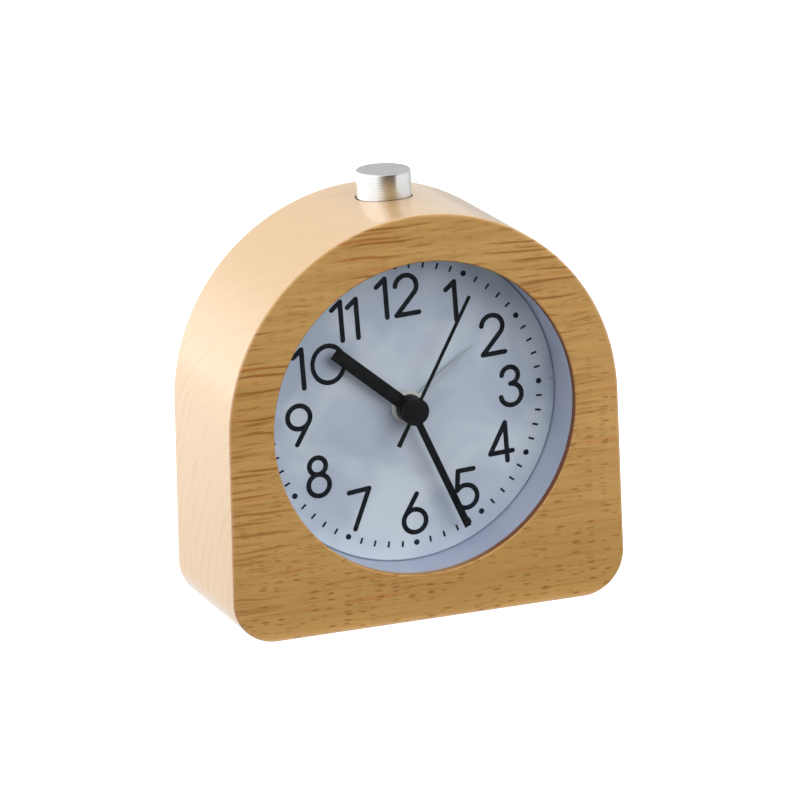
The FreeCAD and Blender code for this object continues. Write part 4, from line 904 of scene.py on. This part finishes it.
for name, metal in metals.items():
    dress(metal, *metal_pieces[name])
    print(name, "on pieces:", len(metal_pieces[name]))

# %% [markdown]
# ## New pieces from mesh code
# A bent wire and a moulded ridge have the same build: rings of points, one after the
# other, with faces between them. A curve with a bevel could make the wire, but these
# few lines serve both.


# %% Tubes from rings
def close_tube(made, rings):
    """Join rings of points into a tube, with a face over each end."""
    for one, two in zip(rings, rings[1:]):
        for k in range(len(one)):
            after = (k + 1) % len(one)
            made.faces.new((one[k], one[after], two[after], two[k]))
    made.faces.new(rings[0])
    made.faces.new(rings[-1])


def piece_from_mesh(name, made, material):
    """Turn finished mesh data into a piece of the scene."""
    bmesh.ops.recalc_face_normals(made, faces=made.faces)
    mesh = bpy.data.meshes.new(name)
    made.to_mesh(mesh)
    made.free()
    mesh.materials.append(material)
    piece = bpy.data.objects.new(name, mesh)
    bpy.context.scene.collection.objects.link(piece)
    return piece


print("mesh helpers ready")

# %% [markdown]
# ## Return spring
# The button stands on a coiled spring. The CAD spring is hidden, and the spring is wound
# again here as one bent tube; it is rigid too, so it can't get shorter when the button goes
# down.

# %% Return spring
WIRE_RADIUS = 0.3 * MM
TURNS = 5
STEPS = 36
SIDES = 10


def wire_rings(made, foot, radius, length):
    """Rings of points along a coiled wire that climbs from its foot."""
    rings = []
    for step in range(TURNS * STEPS + 1):
        angle = 2 * math.pi * step / STEPS
        out = Vector((math.cos(angle), math.sin(angle), 0.0))
        middle = foot + out * radius + Vector((0.0, 0.0, length * step / (TURNS * STEPS)))
        ring = []
        for side in range(SIDES):
            around = 2 * math.pi * side / SIDES
            across = out * math.cos(around) + Vector((0.0, 0.0, math.sin(around)))
            ring.append(made.verts.new(middle + across * WIRE_RADIUS))
        rings.append(ring)
    return rings


def make_return_spring():
    """Coiled wire between the guide bush and the button's cap."""
    low, high = (Vector(corner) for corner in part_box("button_spring"))
    radius = (high.x - low.x) / 2 - WIRE_RADIUS
    foot = Vector(((low.x + high.x) / 2, (low.y + high.y) / 2, low.z + WIRE_RADIUS))
    made = bmesh.new()
    close_tube(made, wire_rings(made, foot, radius, high.z - low.z - 2 * WIRE_RADIUS))
    spring = piece_from_mesh("return_spring", made, metals["spring steel"])
    spring.data.polygons.foreach_set("use_smooth", [True] * len(spring.data.polygons))

    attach(spring, "case")
    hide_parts("button_spring")
    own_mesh(spring)


make_return_spring()

# %% [markdown]
# ## Battery
# The cell has a plain printed wrap: dark along most of its length, with a copper
# band towards the positive end and bare steel at both ends. A label could be a
# picture, but plain zones along the cell are sharper and name no maker.

# %% Battery wrap
# Each edge is where a fade starts and ends, in mm along the cell or from its axis.
BAND_EDGE = (34.8, 35.2)
WRAP_START = (0.7, 0.5)
WRAP_END = (48.9, 49.1)
BARE_END_RADIUS = (6.7, 6.5)
COPPER_SHINE = 0.6


def make_battery_wrap():
    """Plain dark wrap with one band, and bare ends."""
    made, tree, surface = new_material("battery wrap", Coat_Weight=0.4)
    spot = split(tree, place_in_mm(tree))
    along = calc(tree, "SUBTRACT", spot[0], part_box("battery")[0][0] / MM)
    off_y = calc(tree, "SUBTRACT", spot[1], battery_middle.y / MM)
    off_z = calc(tree, "SUBTRACT", spot[2], battery_middle.z / MM)
    band = fade(tree, along, *BAND_EDGE)
    before_wrap, past_wrap = fade(tree, along, *WRAP_START), fade(tree, along, *WRAP_END)
    end_disc = fade(tree, hypotenuse(tree, off_y, off_z), *BARE_END_RADIUS)
    steel = calc(tree, "MAXIMUM", end_disc, calc(tree, "MAXIMUM", before_wrap, past_wrap))
    colour = blend_colours(tree, band, rgb(26, 27, 30), rgb(178, 112, 62))
    colour = blend_colours(tree, steel, colour, rgb(205, 205, 205))
    metallic = calc(tree, "MAXIMUM", steel, times(tree, band, COPPER_SHINE))
    print_grain = {"Grain in mm": 0.4, "Roughness": 0.32, "Spread": 0.12}
    feel = use_group(tree, moulded_grain, print_grain)
    joined = {"Base Color": colour, "Metallic": metallic, "Roughness": feel["Roughness"]}
    fill_inputs(tree, surface, joined)
    join_bump(tree, surface, feel["Height"], 0.1, 0.02)
    return made


dress(make_battery_wrap(), "battery")
print("battery wrapped")

# %% [markdown]
# ## Raised marks on the back
# The cover's mould leaves small raised signs beside the knobs, the switch and the
# battery door. They could be text or a bump, but a bump has no edge of its own, and
# plain signs need no words. Each sign is a few strips: pairs of points that run
# along it, one on each side.


# %% Strips
def arc_strip(middle, radius, width, start, end, steps=24):
    """Pairs of points along a part of a circle; angles in degrees."""
    pairs = []
    for step in range(steps + 1):
        angle = math.radians(start + (end - start) * step / steps)
        way = Vector((math.cos(angle), math.sin(angle)))
        inner, outer = radius - width / 2, radius + width / 2
        pairs.append((middle + way * inner, middle + way * outer))
    return pairs


def bar_strip(first, second, width, end_width=None):
    """Pairs of points along a straight bar, which may narrow towards its end."""
    along = (second - first).normalized()
    side = Vector((-along.y, along.x))
    end_width = width if end_width is None else end_width
    return [
        (first - side * width / 2, first + side * width / 2),
        (second - side * end_width / 2, second + side * end_width / 2),
    ]


def stacked_strip(middle, rows):
    """Pairs of points from rows of (height, half width), for a symmetrical sign."""
    return [
        (middle + Vector((-half, height)), middle + Vector((half, height)))
        for height, half in rows
    ]


print("strips: arc, bar and stacked rows")

# %% [markdown]
# ## Ridges from strips
# Each strip is lifted into a low ridge. Its flanks slope, because a ridge with
# upright ones would stick in its mould, and grey paint makes it show on the black.

# %% Ridges from strips
FLANK_MM = 0.08
SUNK_MM = 0.05
RISE_MM = 0.3
sign_paint = make_plastic(
    "sign paint", rgb(138, 140, 144), rgb(120, 122, 126), (4.0, 0.6), 0.5, (0.2, 0.2)
)


def make_marks(name, strips, face_y, body):
    """Low ridges on a flat face of the back; all sizes in mm."""
    sunk, rise = face_y - SUNK_MM, face_y + RISE_MM
    made = bmesh.new()
    for pairs in strips:
        rings = []
        for left, right in pairs:
            flank = min(FLANK_MM, (right - left).length / 3)
            inward = (right - left).normalized() * flank
            corners = (
                (left, sunk), (right, sunk), (right - inward, rise), (left + inward, rise)
            )
            rings.append(
                [made.verts.new((p.x * MM, depth * MM, p.y * MM)) for p, depth in corners]
            )
        close_tube(made, rings)
    piece = piece_from_mesh(name, made, sign_paint)
    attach(piece, body)
    print(name, "strips:", len(strips))


print("ridges rise", RISE_MM, "mm")

# %% [markdown]
# ## Turning arrows
# Each knob has a curved arrow on its outer side. An arc makes the tail, and a bar
# that narrows makes the head. They are placed from the knobs, so they follow them.

# %% Turning arrows
ARROW_RADIUS, ARROW_WIDTH, ARROW_HEAD = 7.9, 0.55, 1.9
LEFT_ARC = (150.0, 215.0)
RIGHT_ARC = (30.0, -35.0)


def flat_middle(node):
    """Middle of a piece as seen from behind, in mm."""
    low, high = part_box(node)
    return Vector(((low[0] + high[0]) / 2, (low[2] + high[2]) / 2)) / MM


def turn_arrow(middle, start, end):
    """A curved arrow around a knob, from one angle to another."""
    tail = arc_strip(middle, ARROW_RADIUS, ARROW_WIDTH, start, end)
    angle = math.radians(end)
    way = Vector((math.cos(angle), math.sin(angle)))
    ahead = Vector((-way.y, way.x)) * (ARROW_HEAD if end > start else -ARROW_HEAD)
    tip = middle + way * ARROW_RADIUS
    return [tail, bar_strip(tip, tip + ahead, ARROW_HEAD * 1.1, 0.15)]


cover_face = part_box("rear_cover")[1][1] / MM
time_middle = flat_middle("time_knob")
alarm_middle = flat_middle("alarm_knob")
make_marks("time_turn_arrow", turn_arrow(time_middle, *LEFT_ARC), cover_face, "case")
make_marks("alarm_turn_arrow", turn_arrow(alarm_middle, *RIGHT_ARC), cover_face, "case")

# %% [markdown]
# ## Signs over the knobs
# A small clock face stands over the knob that sets the time, and a bell over the
# one that sets the alarm. The face is a full arc with two bars for its hands. The
# bell is symmetrical, so rows of heights and half widths are enough for it.

# %% Signs over the knobs
SIGN_UP = Vector((0.0, 9.4))
LINE_WIDTH, HAND_WIDTH = 0.4, 0.35
# Each row is a height and half of the width there.
BELL_ROWS = [(1.9, 0.2), (1.7, 0.65), (1.1, 0.95), (-0.1, 1.15), (-0.8, 1.75), (-1.1, 1.8)]
CLAPPER_ROWS = [(-1.3, 0.5), (-1.8, 0.25)]

face_middle = time_middle + SIGN_UP
clock_face = [
    arc_strip(face_middle, 1.7, LINE_WIDTH, 0.0, 360.0),
    bar_strip(face_middle, face_middle + Vector((0.0, 1.2)), HAND_WIDTH),
    bar_strip(face_middle, face_middle + Vector((0.9, 0.0)), HAND_WIDTH),
]
bell = [stacked_strip(alarm_middle + SIGN_UP, rows) for rows in (BELL_ROWS, CLAPPER_ROWS)]
make_marks("time_sign", clock_face, cover_face, "case")
make_marks("alarm_sign", bell, cover_face, "case")

# %% [markdown]
# ## Signs of the switch and the door
# The alarm switch has a ring for off and a bar for on. The battery door shows plus
# and minus over the ends of the cell, and these ride on the door, so they swing
# open with it.

# %% Signs of the switch and the door
switch_side = Vector((6.6, 0.0))
switch_middle = Vector((0.0, flat_middle("alarm_switch").y))
off_sign, on_sign = switch_middle + switch_side, switch_middle - switch_side
half_bar = Vector((0.0, 1.3))
switch_signs = [
    arc_strip(off_sign, 1.1, LINE_WIDTH, 0.0, 360.0),
    bar_strip(on_sign - half_bar, on_sign + half_bar, 0.45),
]
make_marks("switch_signs", switch_signs, cover_face, "case")

door_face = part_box("battery_door")[1][1] / MM
door_middle = flat_middle("battery_door")
plus, minus = door_middle + Vector((21.0, 1.0)), door_middle + Vector((-21.0, 1.0))
arm, stem, gap = Vector((1.5, 0.0)), Vector((0.0, 1.5)), Vector((0.0, 0.3))
BAR_WIDTH = 0.6
polarity_signs = [
    bar_strip(plus - arm, plus + arm, BAR_WIDTH),
    bar_strip(plus + gap, plus + stem, BAR_WIDTH),
    bar_strip(plus - gap, plus - stem, BAR_WIDTH),
    bar_strip(minus - arm, minus + arm, BAR_WIDTH),
]
make_marks("polarity_signs", polarity_signs, door_face, "door")

# %% [markdown]
# ## Floor: what the clock mirrors
# The clock stands on a plain, very pale floor, so bright that its shadow is only
# just seen. The lacquer and the metal button mirror this floor. In a studio, black
# cards beside the object darken such reflections. Here the floor does it itself: it
# gives the camera plain white, and all other rays a dark fan in front of the clock,
# a bright stripe at the fan's right edge, and a glow far out at the left.

# %% Brightness of the floor
WHITE = (1.0, 1.0, 1.0, 1.0)
FAN_CENTRE_MM = 100.0
# Angles in radians about a point behind the clock: 0 is straight ahead, plus is right.
FAN_LEFT, FAN_RIGHT = (-0.75, -0.28), (0.54, 0.44)
STRIPE_LEFT, STRIPE_RIGHT = (0.46, 0.54), (0.66, 0.58)
FAN_START_MM = (-20.5, -25.0)
FAN_DARKNESS, STRIPE_LIGHT, CORNER_SHADE, GLOW = 0.95, 0.6, 0.42, 0.55
# Spans in mm: across, outwards from the clock, and to the shaded corner at the back.
ACROSS_MM, ACROSS_LIGHT = (-60.0, 260.0), (1.2, 0.95)
AWAY_MM, AWAY_LIGHT = (60.0, 260.0), (0.8, 1.0)
CORNER_X_MM, CORNER_Y_MM = (20.0, 180.0), (50.0, 350.0)
GLOW_X_MM, GLOW_Y_MM = (-110.0, -420.0), (0.0, 150.0)


def floor_brightness(tree, spot, glossy):
    """How bright the floor is for rays that don't come from the camera."""
    ahead = calc(tree, "SUBTRACT", FAN_CENTRE_MM, spot[1])
    turn = calc(tree, "ARCTAN2", spot[0], ahead)
    fan = times(tree, fade(tree, turn, *FAN_LEFT), fade(tree, turn, *FAN_RIGHT))
    fan = times(tree, fan, fade(tree, spot[1], *FAN_START_MM))
    stripe = times(tree, fade(tree, turn, *STRIPE_LEFT), fade(tree, turn, *STRIPE_RIGHT))

    bright = fade(tree, spot[0], *ACROSS_MM, *ACROSS_LIGHT)
    bright = calc(tree, "ADD", bright, times(tree, stripe, STRIPE_LIGHT))
    away = fade(tree, hypotenuse(tree, spot[0], spot[1]), *AWAY_MM, *AWAY_LIGHT)
    corner = fade(tree, spot[0], *CORNER_X_MM)
    corner = times(tree, corner, fade(tree, spot[1], *CORNER_Y_MM))
    away = calc(tree, "SUBTRACT", away, times(tree, corner, CORNER_SHADE))
    bright = times(tree, bright, away)

    glow = fade(tree, spot[0], *GLOW_X_MM, 0.0, GLOW)
    far_left = times(tree, glow, fade(tree, spot[1], *GLOW_Y_MM))
    bright = calc(tree, "ADD", bright, times(tree, far_left, glossy))
    lit = calc(tree, "SUBTRACT", 1.0, times(tree, fan, FAN_DARKNESS))
    return times(tree, bright, lit)


print("floor brightness ready")

# %% [markdown]
# ## Floor: the sheet
# The sheet is far larger than the view, so its edge is never seen, and lies a fifth
# of a millimetre low, so it doesn't flicker with the clock's own foot. Its material
# glows a little, so that it stays white beside the white surround.

# %% Pale floor
FLOOR_HALF = 4.0
FLOOR_LEVEL = -0.0002


def make_floor():
    """A large level sheet under the clock."""
    mesh = bpy.data.meshes.new("floor")
    signs = ((-1, -1), (1, -1), (1, 1), (-1, 1))
    corners = [(FLOOR_HALF * x, FLOOR_HALF * y, FLOOR_LEVEL) for x, y in signs]
    mesh.from_pydata(corners, [], [(0, 1, 2, 3)])
    floor = bpy.data.objects.new("floor", mesh)
    bpy.context.scene.collection.objects.link(floor)
    pale, tree, surface = new_material(
        "pale floor", Roughness=0.9, Emission_Color=WHITE, Emission_Strength=0.75
    )
    paint = {"Colour": (0.9, 0.9, 0.9, 1.0), "Cloud": (0.88, 0.88, 0.88, 1.0)}
    clouds = use_group(tree, soft_clouds, {**paint, "Size in mm": 160.0, "Amount": 0.5})
    fill_inputs(tree, surface, {"Base Color": clouds["Colour"]})
    spot = split(tree, place_in_mm(tree))
    path = add_node(tree, "LightPath").outputs
    strength = floor_brightness(tree, spot, path["Is Glossy Ray"])
    mirrored = add_node(tree, "Emission", {"Strength": strength})
    show_shader(tree, choose_shader(tree, path["Is Camera Ray"], mirrored, surface))
    mesh.materials.append(pale)


make_floor()
print("pale floor, half side in m:", FLOOR_HALF)

# %% [markdown]
# ## Surround
# The picture has very even light: a white surround with its brightest part behind
# the clock and at its left, and a dim room in front. Many lamps could make this, but
# the lacquer would mirror each of them, so the light is built into the world. Shiny
# surfaces get less of the part behind and more of a glow low at the left, which
# lies on the clock's shoulder.

# %% World
# Parts of a direction, from -1 to 1: x to the right, y to the back, z up.
ROOM_EDGE = (-0.92, -0.5)
LEFT_EDGE = (0.1, -0.9)
GLOW_SIDE, GLOW_HEIGHT = (-0.15, -0.5), (0.45, 0.1)
ROOM_LIGHT, ROOM_TINT = 0.03, (0.98, 0.985, 1.0, 1.0)
MATT_LIGHT, GLOSSY_LIGHT = 1.08, 0.72
LEFT_LIGHT, LEFT_GLOW = 0.55, 0.8
SEEN_LIGHT = 1.2


def make_world():
    """White to the camera; brighter behind and dimmer in front for all other light."""
    world = bpy.data.worlds.new("white surround")
    bpy.context.scene.world = world
    world.use_nodes = True
    tree = world.node_tree
    tree.nodes.clear()
    way = split(tree, add_node(tree, "TexCoord").outputs["Generated"])
    path = add_node(tree, "LightPath").outputs
    glossy = path["Is Glossy Ray"]

    around = fade(tree, way[1], *ROOM_EDGE)
    by_ray = fade(tree, glossy, 0.0, 1.0, MATT_LIGHT, GLOSSY_LIGHT)
    strength = calc(tree, "ADD", ROOM_LIGHT, times(tree, around, by_ray))
    left = times(tree, fade(tree, way[0], *LEFT_EDGE), LEFT_LIGHT)
    strength = calc(tree, "ADD", strength, left)
    glow = times(tree, fade(tree, way[0], *GLOW_SIDE), fade(tree, way[2], *GLOW_HEIGHT))
    glow = times(tree, times(tree, glow, glossy), LEFT_GLOW)
    strength = calc(tree, "ADD", strength, glow)

    tint = blend_colours(tree, around, ROOM_TINT, WHITE)
    lit = add_node(tree, "Background", {"Color": tint, "Strength": strength})
    seen = add_node(tree, "Background", {"Color": WHITE, "Strength": SEEN_LIGHT})
    shader = choose_shader(tree, path["Is Camera Ray"], lit, seen)
    add_node(tree, "OutputWorld", {"Surface": shader})
    print("white surround, nodes:", len(tree.nodes))


make_world()

# %% [markdown]
# ## Lamp
# One large soft lamp, above and at the right in front, makes the faint shadows of
# the hands on the dial. A small lamp would make them too sharp. It is hidden from
# shiny surfaces, so it doesn't show as a square in the lens and the lacquer.

# %% Soft lamp
lamp_place = Vector((0.45, -1.25, 0.62))
lamp_aim = Vector((0.0, 0.0, 0.05))
light = bpy.data.lights.new("soft key lamp", "AREA")
light.size = 1.1
light.energy = 12.0
lamp = bpy.data.objects.new("soft key lamp", light)
lamp.location = lamp_place
lamp.rotation_euler = (lamp_aim - lamp_place).to_track_quat("-Z", "Y").to_euler()
lamp.visible_glossy = False
bpy.context.scene.collection.objects.link(lamp)
print("lamp placed, side in m:", round(light.size, 2))

# %% [markdown]
# ## Camera
# The camera stands where the photograph was taken from: a little left of the
# clock, a little above it, and far away with a long lens. It could be aimed at a
# point, but its three axes are given directly, so its slight roll is kept too.

# %% Camera
camera_place = Vector((-0.457669, -1.21771, 0.411599))
camera_right = Vector((0.932337, -0.360205, -0.031636))
camera_up = Vector((0.12522, 0.239555, 0.962774))
camera_back = Vector((-0.339218, -0.901591, 0.268451))

optics = bpy.data.cameras.new("camera")
optics.sensor_width = 36.0
optics.lens = 253.53
optics.shift_x = 0.00269
optics.shift_y = 0.00113
optics.clip_start = 0.01
camera = bpy.data.objects.new("camera", optics)
turn = Matrix((camera_right, camera_up, camera_back)).transposed().to_4x4()
camera.matrix_world = Matrix.Translation(camera_place) @ turn
bpy.context.scene.collection.objects.link(camera)
bpy.context.scene.camera = camera
bpy.context.scene.view_settings.view_transform = "Standard"
bpy.context.scene.view_settings.look = "None"
print("camera placed, focal length in mm:", round(optics.lens, 1))

# %% [markdown]
# ## Finish

# %% Finish
print("finished")
